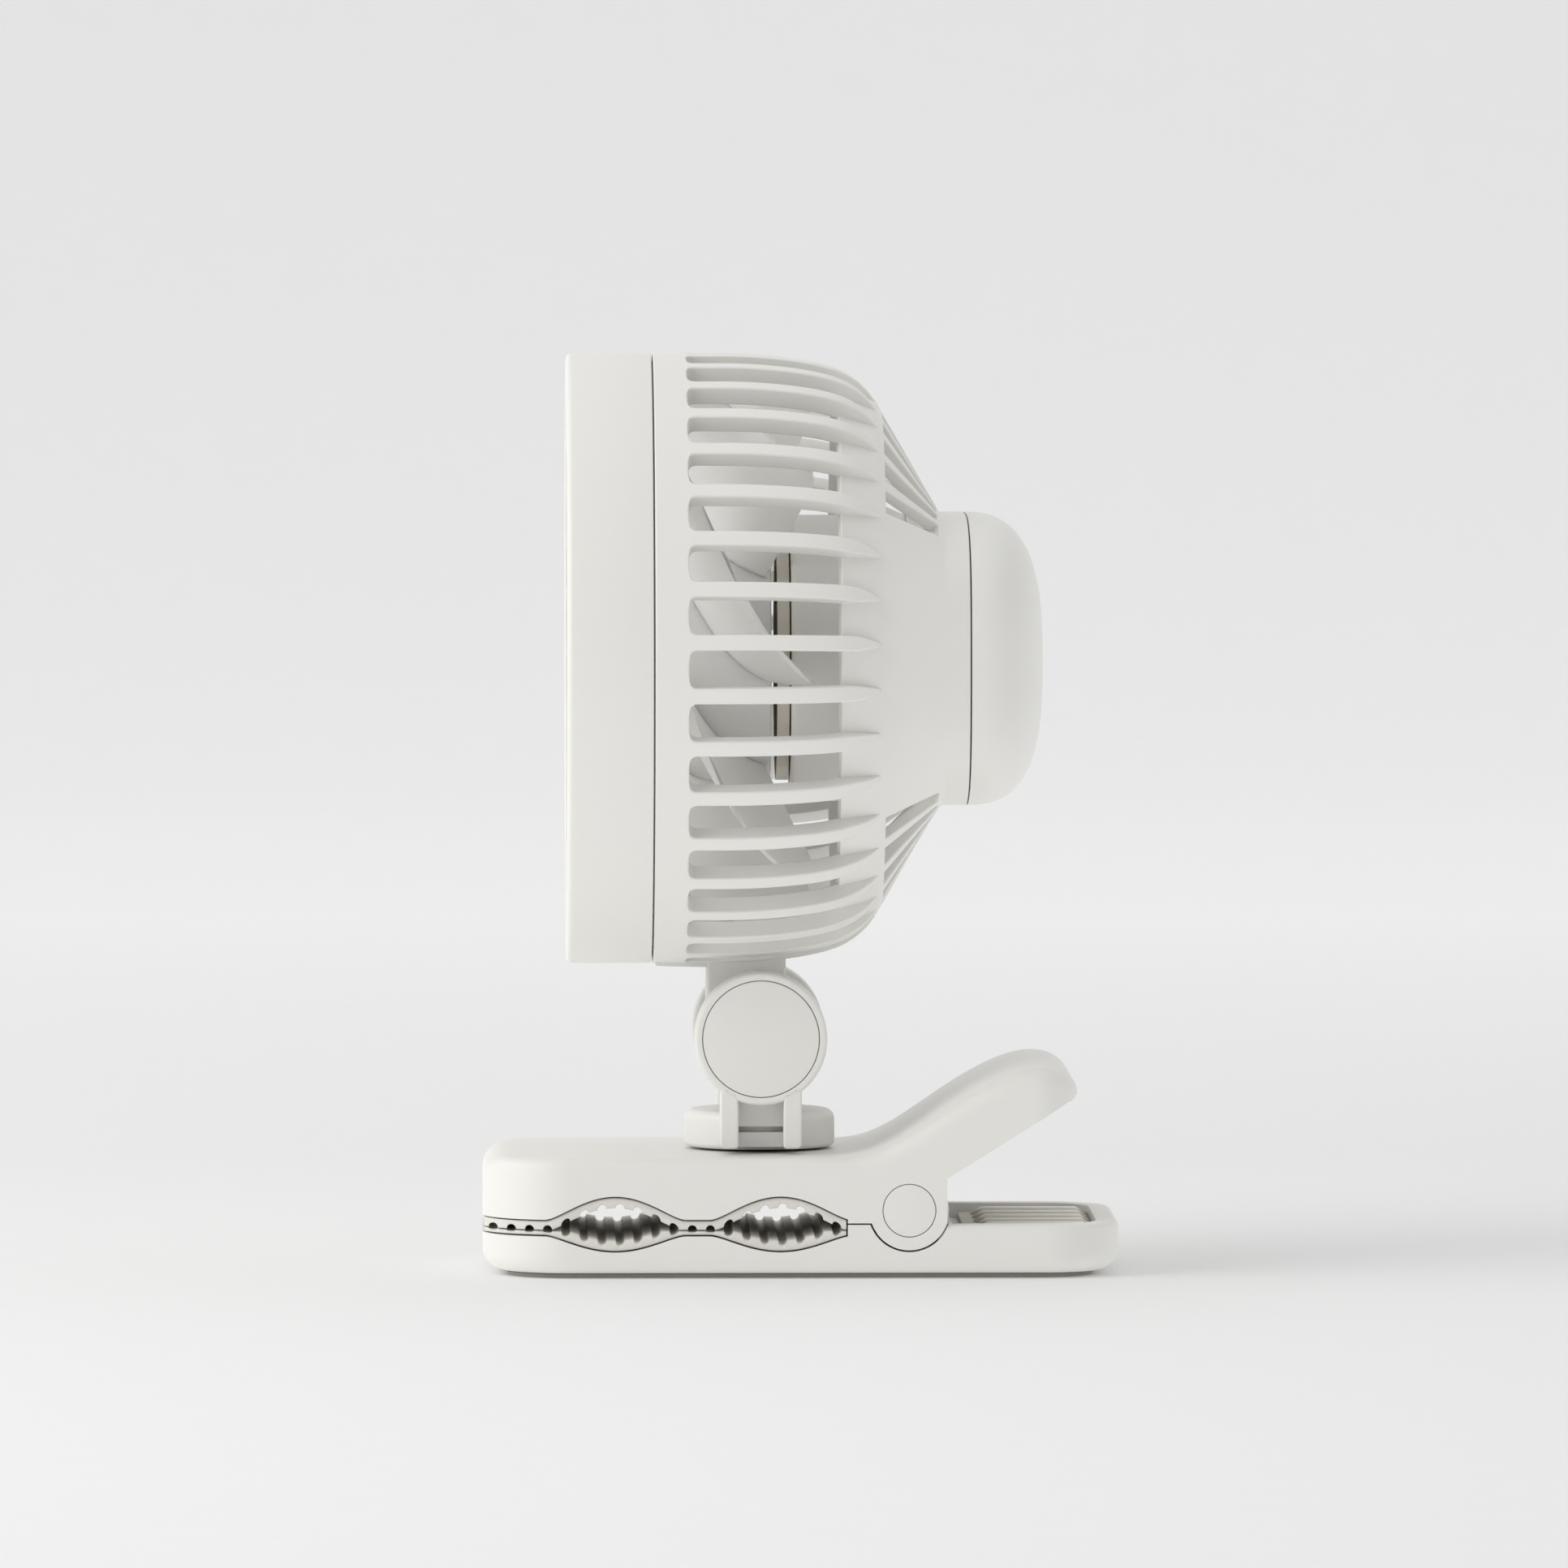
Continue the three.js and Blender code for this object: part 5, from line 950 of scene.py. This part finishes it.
def top_line():
    """The upper jaw's top from the flat to the handle's tip, as three curves."""
    start, crown = np.array([7.0, JAW_TOP]), np.array([45.0, 39.5])
    rise = (crown[1] - start[1]) / (crown[0] - start[0])
    bend = (start + crown) / 2
    slope = np.array([1, 1.55 * rise]) * 8
    return np.concatenate([
        bezier(start, (start[0] + 7, start[1]), bend - slope, bend, 24)[:-1],
        bezier(bend, bend + slope, (crown[0] - 5, crown[1]), crown, 24)[:-1],
        bezier(crown, (48.4, 39.5), (51.2, 38.0), (HANDLE_TIP_X, HANDLE_TIP_Z), 24),
    ])


TOP_LINE = top_line()


def top_at(x):
    """Height of the upper jaw's top, rounded over the mouth by a quarter circle."""
    radius = 4.4
    z = np.interp(x, TOP_LINE[:, 0], TOP_LINE[:, 1])
    short = np.clip(radius - (x - FRONT_X), 0, radius)
    return z - (radius - np.sqrt(radius**2 - short**2))


def under_at(x):
    """Height of the handle's straight underside."""
    slope = (HANDLE_TIP_Z - HANDLE_LIP - EAR_REAR_Z) / (HANDLE_TIP_X - 1.4 - EAR_REAR_X)
    return EAR_REAR_Z + slope * (x - EAR_REAR_X)


def plan_loop(front, rear, front_corner, rear_corner, breaks, spacing=0.7):
    """A rounded rectangle seen from above, as points and outward normals. Straight sides get
    even points, and extra ones on both sides of each break."""
    def side(x0, x1):
        even = np.linspace(x0, x1, max(2, int((x1 - x0) / spacing)))
        extra = np.array([b + d for b in breaks for d in (-0.01, 0.01)])
        dense = HINGE_X + HINGE_HOLE * np.cos(np.linspace(0, math.pi, 41)[1:-1])
        inner = np.concatenate([extra, dense])
        return np.unique(np.concatenate([even, inner[(inner > x0) & (inner < x1)]]))

    def straight(xs, sign):
        return np.stack([xs, np.full(len(xs), sign * HALF_WIDTH)], 1), np.tile([0.0, sign], (len(xs), 1))

    def arc(cx, sign, r, start):
        t = np.radians(np.linspace(start, start + 90, 25))
        normals = np.stack([np.cos(t), np.sin(t)], 1)
        return np.array([cx, sign * (HALF_WIDTH - r)]) + r * normals, normals

    near = side(front + front_corner, rear - rear_corner)
    pieces = [
        straight(near, -1), arc(rear - rear_corner, -1, rear_corner, -90),
        arc(rear - rear_corner, 1, rear_corner, 0), straight(near[::-1], 1),
        arc(front + front_corner, 1, front_corner, 90), arc(front + front_corner, -1, front_corner, 180),
    ]
    return np.concatenate([p for p, _ in pieces]), np.concatenate([n for _, n in pieces])


def handle_half_width(x):
    """Half width of the plan at a place along the handle, less a seat."""
    ahead = np.clip(x - (HANDLE_TIP_X - HANDLE_CORNER), 0, HANDLE_CORNER)
    return HALF_WIDTH - HANDLE_CORNER + np.sqrt(HANDLE_CORNER**2 - ahead**2) - SEAT


def upper_jaw():
    """A lid over the plan: walls up from the bite's edge round the hinge caps' holes, a quarter
    circle at the top edge and a top that follows the handle's curve down to a middle line."""
    boss_end = math.sqrt(BOSS_RADIUS**2 - (HINGE_Z - TAIL_TOP - SEAT) ** 2)
    points, normals = plan_loop(FRONT_X, HANDLE_TIP_X, FRONT_CORNER, HANDLE_CORNER,
                                [MOUTH_END_X, EAR_REAR_X, HINGE_X - boss_end, HINGE_X - HINGE_HOLE,
                                 HINGE_X + HINGE_HOLE])
    x, y = points.T
    reach = x - HINGE_X
    under = np.full(len(x), TAIL_TOP + SEAT)
    drop = HINGE_Z - np.sqrt(np.clip(BOSS_RADIUS**2 - reach**2, 0, None))
    under = np.where(np.abs(reach) < BOSS_RADIUS, np.minimum(under, drop), under)
    low = np.where(x < MOUTH_END_X, upper_edge(x), np.where(x < EAR_REAR_X, under, under_at(x)))
    turn_up = np.clip((x - HANDLE_TIP_X + 1.8) / 1.8, 0, 1)
    low = np.where(turn_up > 0, under_at(HANDLE_TIP_X - 1.8) + 1.5 * turn_up**2, low)
    radius = 2.4 + 1.6 * np.clip((x - 4) / 26, 0, 1)
    weight = np.abs(normals[:, 1])
    side_top = top_at(x) - radius * weight
    half = np.sqrt(np.clip(HINGE_HOLE**2 - reach**2, 0, None))
    around = (np.abs(reach) < BOSS_RADIUS) & (x < EAR_REAR_X)
    middle = np.where(around, HINGE_Z, low + 0.35 * (side_top - low))
    rows = []
    for share in np.linspace(0, 1, 4):
        rows.append(low + (middle - half - low) * share)
    for share in np.linspace(0, 1, 5):
        rows.append(middle + half + (side_top - middle - half) * share)
    rows = [np.stack([x, y, z], 1) for z in rows]
    for turn in np.linspace(0, math.pi / 2, 8)[1:]:
        inset = radius * (1 - math.cos(turn))
        px, py = x - normals[:, 0] * inset, y - normals[:, 1] * inset
        rows.append(np.stack([px, py, top_at(px) - radius * weight * (1 - math.sin(turn))], 1))
    spine_x = np.clip(x, FRONT_X + FRONT_CORNER, HANDLE_TIP_X - HANDLE_CORNER)
    for share in (0.12, 0.3, 0.5, 0.7, 0.85, 1.0):
        sx, sy = px + (spine_x - px) * share, py * (1 - share)
        rows.append(np.stack([sx, sy, top_at(sx)], 1))
    keep = np.ones((len(rows) - 1, len(x)), bool)
    keep[3] = False
    lid = skin(np.stack(rows), wrap_columns=True, keep=keep)
    piece("upper_jaw_cover", [lid], SHELL, "upper_jaw", ["upper_jaw_shell"], wall=1.9)
    xs = np.concatenate([[EAR_REAR_X], np.linspace(EAR_REAR_X + 0.5, HANDLE_TIP_X - 1.9, 30)])
    ys = handle_half_width(xs)[:, None] * np.linspace(-1, 1, 25)[None]
    plate = np.stack([np.repeat(xs[:, None], 25, 1), ys, np.repeat(under_at(xs)[:, None], 25, 1)], 2)
    parts = [thick_sheet(plate + (0, 0, 0.05), (0, 0, 1), 1.6)]
    for sign in (-1, 1):
        inner, outer = HALF_WIDTH - 4.6, HALF_WIDTH - 1.8
        profile = [(inner, 1.8), (inner, BOSS_RADIUS), (outer, BOSS_RADIUS), (outer, 1.8)]
        parts.append(turned(rounded(profile, 0.2) * (sign, 1), "y", HINGE_CENTRE, 96))
    piece("handle_underside_and_ears", parts, SHELL, "upper_jaw", smooth=30)


def thick_sheet(sheet, direction, thickness):
    """A closed plate from a grid of points and its copy moved by a thickness."""
    shift = np.array(direction, float) * thickness
    loop = np.stack([sheet, sheet + shift])
    rows, columns = sheet.shape[:2]
    bottom = grid_faces(rows, columns)
    top = grid_faces(rows, columns)[:, ::-1] + rows * columns
    edge = np.concatenate([
        np.arange(columns), np.arange(1, rows) * columns + columns - 1,
        (rows - 1) * columns + np.arange(columns - 2, -1, -1), np.arange(rows - 2, 0, -1) * columns,
    ])
    nxt = np.roll(edge, -1)
    wall = np.stack([nxt, edge, edge + rows * columns, nxt + rows * columns], 1)
    return loop.reshape(-1, 3), np.concatenate([bottom, top, wall]).tolist()


FOOT_ROUND = 4.2
TAIL_SOFT = 1.1
SOLE_Z = 0.9
TRAY_FRONT_X, TRAY_REAR_X = 28.3, 55.4
TRAY_HALF = 26.7
TRAY_FLOOR = 7.3
GRIP_PITCH = 9.6


def lower_jaw():
    """A tray over the plan: a quarter circle under the wall, and a wall that ends at the bite
    in front, is hollowed round the ears, and turns over in a quarter circle along the tail."""
    notch = BOSS_RADIUS + 0.35
    reach = math.sqrt(notch**2 - (HINGE_Z - TAIL_TOP) ** 2)
    points, normals = plan_loop(FRONT_X, TAIL_X, FRONT_CORNER, REAR_CORNER,
                                [MOUTH_END_X, HINGE_X - reach, HINGE_X + reach])
    x, y = points.T
    tail = x > HINGE_X + reach
    arc = HINGE_Z - np.sqrt(np.clip(notch**2 - (x - HINGE_X) ** 2, 0, None))
    high = np.where(x < MOUTH_END_X, lower_edge(x), TAIL_TOP)
    high = np.where(np.abs(x - HINGE_X) < reach, np.minimum(arc, high), high)
    high = np.where(tail, TAIL_TOP - TAIL_SOFT, high)
    rows = []

    def ring(inset, z):
        rows.append(np.stack([x - normals[:, 0] * inset, y - normals[:, 1] * inset, z + 0 * x], 1))

    ring(FOOT_ROUND + 1.0, SOLE_Z)
    for turn in np.linspace(0, math.pi / 2, 10):
        up = SOLE_Z + FOOT_ROUND * (1 - math.cos(turn))
        ring(FOOT_ROUND * (1 - math.sin(turn)), np.minimum(up, high - 0.05))
    base = rows[-1][:, 2]
    for share in np.linspace(0, 1, 6)[1:]:
        ring(0, base + (high - base) * share)
    for turn in np.linspace(0, math.pi / 2, 7)[1:]:
        soft = TAIL_SOFT * tail
        ring(soft * (1 - math.cos(turn)), high + soft * math.sin(turn))
    shell = skin(np.stack(rows), wrap_columns=True)
    piece("lower_jaw_tray", [shell], SHELL, "lower_jaw", ["lower_jaw_shell"], wall=1.9)
    deck(HINGE_X + reach)


def ring_loop(front, rear, half, corner, z):
    """A rounded rectangle at a height; loops with the same corners match point for point."""
    corner = np.minimum(corner, (rear - front) * 0.45)
    outline = rounded(box_corners(front, -half, rear, half), corner, 12)
    return np.column_stack([outline, np.full(len(outline), z)])


def deck(front):
    """Flat top of the tail with the grip tray sunk into it, and the frame under the hinge."""
    lip, under = 0.4, 1.3
    corner = np.array([0.5, REAR_CORNER - TAIL_SOFT, REAR_CORNER - TAIL_SOFT, 0.5])
    tray = np.array([0.8, 9.0, 9.0, 0.8])
    outer = (front, TAIL_X - TAIL_SOFT, HALF_WIDTH - TAIL_SOFT, corner)

    def opening(grow, z):
        return ring_loop(TRAY_FRONT_X - grow, TRAY_REAR_X + grow, TRAY_HALF + grow, tray + grow, z)

    rows = [
        opening(1.2, TRAY_FLOOR - under), opening(1.2, TAIL_TOP - under),
        ring_loop(*outer, TAIL_TOP - under), ring_loop(*outer, TAIL_TOP), opening(lip, TAIL_TOP),
        opening(lip * 0.3, TAIL_TOP - lip * 0.3), opening(0, TAIL_TOP - lip), opening(0, TRAY_FLOOR),
    ]
    parts = [skin(np.stack(rows), wrap_columns=True, caps=True)]
    inner = HALF_WIDTH - 5.1
    window = (HINGE_X - 5.2, HINGE_X + 5.2, 14.6, np.full(4, 0.6))
    frame_outer = (MOUTH_END_X, front + 0.1, inner, np.full(4, 0.6))
    rows = [
        ring_loop(*window, TAIL_TOP - under), ring_loop(*frame_outer, TAIL_TOP - under),
        ring_loop(*frame_outer, TAIL_TOP - 0.05), ring_loop(*window, TAIL_TOP - 0.05),
    ]
    parts.append(skin(np.stack(rows), wrap_rows=True, wrap_columns=True))
    piece("tail_deck", parts, SHELL, "lower_jaw", smooth=30)


def grip():
    """Ribbed insert: a plate and long ribs with rounded tops."""
    low, high = sides("grip_insert")
    floor = low[2]
    plate = rounded(box_corners(*low[:2], *high[:2]), 2.2, 8)
    parts = [slab(plate, floor, floor + 0.9, 0.15, "z")]
    path_x = np.linspace(low[0] + 2.4, high[0] - 0.2, 12)
    from_end = np.minimum(path_x - path_x[0], path_x[-1] - path_x)
    ends = np.minimum(1, np.sqrt(from_end / 1.2) + 0.2)
    for k in range(5):
        y = (k - 2) * GRIP_PITCH
        path = np.stack([path_x, np.full(12, y), np.full(12, floor + 0.95)], 1)
        across, up = np.tile([0.0, 1, 0], (12, 1)), np.tile([0.0, 0, 1], (12, 1))
        parts.append(swept(path, across, up, soft_rect(2.6, 2.9, 1.1, 5), 1.0, ends))
    piece("grip_ribs", parts, TRAY_PAINTED_LIGHT, "lower_jaw", ["grip_insert"])


def pad(side, name, body, node):
    """A jaw pad: a smooth back along the jaw and a face with half-round grooves across it. At
    each place along the clip it is a rectangle as wide as the plan allows."""
    start, end = FRONT_X + SEAT, MOUTH_END_X - SEAT
    back_of = (lambda v: upper_edge(v) - SEAT) if side > 0 else (lambda v: lower_edge(v) + SEAT)
    bite = BITE_Z + side * SEAT / 2
    pick = np.maximum if side > 0 else np.minimum
    teeth = int((end - start) // TOOTH_PITCH)
    margin = (end - start - (teeth - 1) * TOOTH_PITCH) / 2
    middles = start + margin + TOOTH_PITCH * np.arange(teeth)
    turn = np.linspace(0, math.pi, 11)
    arcs = middles[:, None] - TOOTH_RADIUS * np.cos(turn)[None]
    x = np.concatenate([arcs.ravel(), np.linspace(start, end, 90), start + np.linspace(0, 6, 25)])
    x = np.unique(x)
    x = x[(x >= start) & (x <= end)]
    back = back_of(x)
    face = pick(back - side * PAD_THICK, bite)
    offset = x[:, None] - middles[None]
    near = np.abs(offset).min(1)
    thick = np.abs(back - face)
    deep = np.clip(thick - 0.45, 0.15, TOOTH_RADIUS)
    groove = np.sqrt(np.clip(1 - (near / TOOTH_RADIUS) ** 2, 0, None)) * deep
    face = face + side * groove
    ahead = np.clip(FRONT_X + FRONT_CORNER - x, 0, FRONT_CORNER - SEAT)
    half = HALF_WIDTH - FRONT_CORNER + np.sqrt(FRONT_CORNER**2 - ahead**2) - SEAT
    soft = 0.25
    low, high = np.minimum(back, face), np.maximum(back, face)
    section = [
        (-half, low + soft), (-half + soft, low), (half - soft, low), (half, low + soft),
        (half, high - soft), (half - soft, high), (-half + soft, high), (-half, high - soft),
    ]
    points = np.stack([np.stack([x, y + 0 * x, z], 1) for y, z in section], 1)
    piece(name, [skin(points, wrap_columns=True, caps=True)], PAD, body, [node], smooth=50)


def sole():
    """Flat rubber foot: a rounded rectangle with soft edges."""
    low, high = sides("base_sole")
    outline = rounded(box_corners(*low[:2], *high[:2]), 10.5, 16)
    part = slab(outline, low[2], high[2] + 0.2, 0.2, "z")
    piece("foot_sole", [part], SOLE, "lower_jaw", ["base_sole"])


def spring():
    """Torsion spring: a helix round the pin with a leg at each end, a round wire swept along
    it with its across direction kept along the pin."""
    turns, pitch, radius, wire = 8, 2.3, 3.3, 1.5
    length = turns * pitch
    t = np.linspace(0, 1, turns * 32 + 1)
    angle = math.pi + TAU * turns * t
    coil = np.stack([radius * np.cos(angle), length * (t - 0.5), radius * np.sin(angle)], 1)
    low, high = sides("torsion_spring")
    legs = []
    for y, z0, z1 in ((-length / 2, low[2] - HINGE_Z, -0.8), (length / 2, 0.8, high[2] - HINGE_Z)):
        legs.append(np.linspace((-radius, y, z0), (-radius, y, z1), 8))
    path = np.concatenate([legs[0], coil, legs[1]])
    ahead = np.gradient(path, axis=0)
    ahead /= np.linalg.norm(ahead, axis=1, keepdims=True)
    across = np.array([0.0, 1, 0]) - ahead * ahead[:, 1:2]
    across /= np.linalg.norm(across, axis=1, keepdims=True)
    up = np.cross(ahead, across)
    ring = np.linspace(0, TAU, 12, endpoint=False)
    section = wire / 2 * np.stack([np.cos(ring), np.sin(ring)], 1)
    part = swept(path + HINGE_CENTRE, across, up, section)
    piece("closing_spring", [part], SPRING, "lower_jaw", ["torsion_spring"])


def hinge():
    """Steel pin, and the two lugs that carry it: half discs on feet."""
    low, high = sides("hinge_pin")
    pin = disc(low[1], high[1], 1.5, 0.3, "y", HINGE_CENTRE, 48)
    piece("hinge_rod", [pin], STEEL, "lower_jaw", ["hinge_pin"])
    outline = np.concatenate([arc_points(4.6, 0, math.pi, 33), [(-4.6, -3.2), (4.6, -3.2)]])
    parts = []
    for sign in (-1, 1):
        low_y, high_y = sorted((sign * 11.05, sign * 14.25))
        parts.append(slab(outline, low_y, high_y, 0.3, "y", HINGE_CENTRE))
    piece("hinge_lugs", parts, SHELL, "lower_jaw")


# --- carried-over nodes

CARRIED = (
    (SHELL, "base_plate upper_jaw_plate"), (TAN, "motor_plate"), (CAN, "motor"), (WRAP, "battery_pack"),
    (GREEN, "control_board"), (SOCKET, "usb_socket"),
    (BLACK, "button_switch slip_washer friction_washer_near friction_washer_far"),
    (STEEL, "motor_bearing motor_shaft swivel_bolt tilt_bolt tilt_nut neck_screw_front"
            " neck_screw_rear base_screw_1 base_screw_2 plate_screw_1 plate_screw_2"),
)


def carried():
    """Gives the inner nodes, which keep their CAD shapes, their finishes."""
    for material, nodes in CARRIED:
        for node in nodes.split():
            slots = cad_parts[node].data.materials
            slots.clear()
            slots.append(material)


def corners(box):
    return [[float(v) for v in corner] for corner in box]


stage()
light_and_camera()
front_guard()
rear_shell()
rear_cap()
power_button()
fan()
neck()
yoke()
upper_jaw()
side_caps("hinge_disc", "hinge_cap", "upper_jaw", HINGE_CENTRE,
          (HALF_WIDTH, HINGE_CAP_RADIUS), (0.03, 0.06), 0.2, 96)
lower_jaw()
grip()
pad(1, "upper_jaw_pad", "upper_jaw", "upper_pad")
pad(-1, "lower_jaw_pad", "lower_jaw", "lower_pad")
sole()
spring()
hinge()
carried()
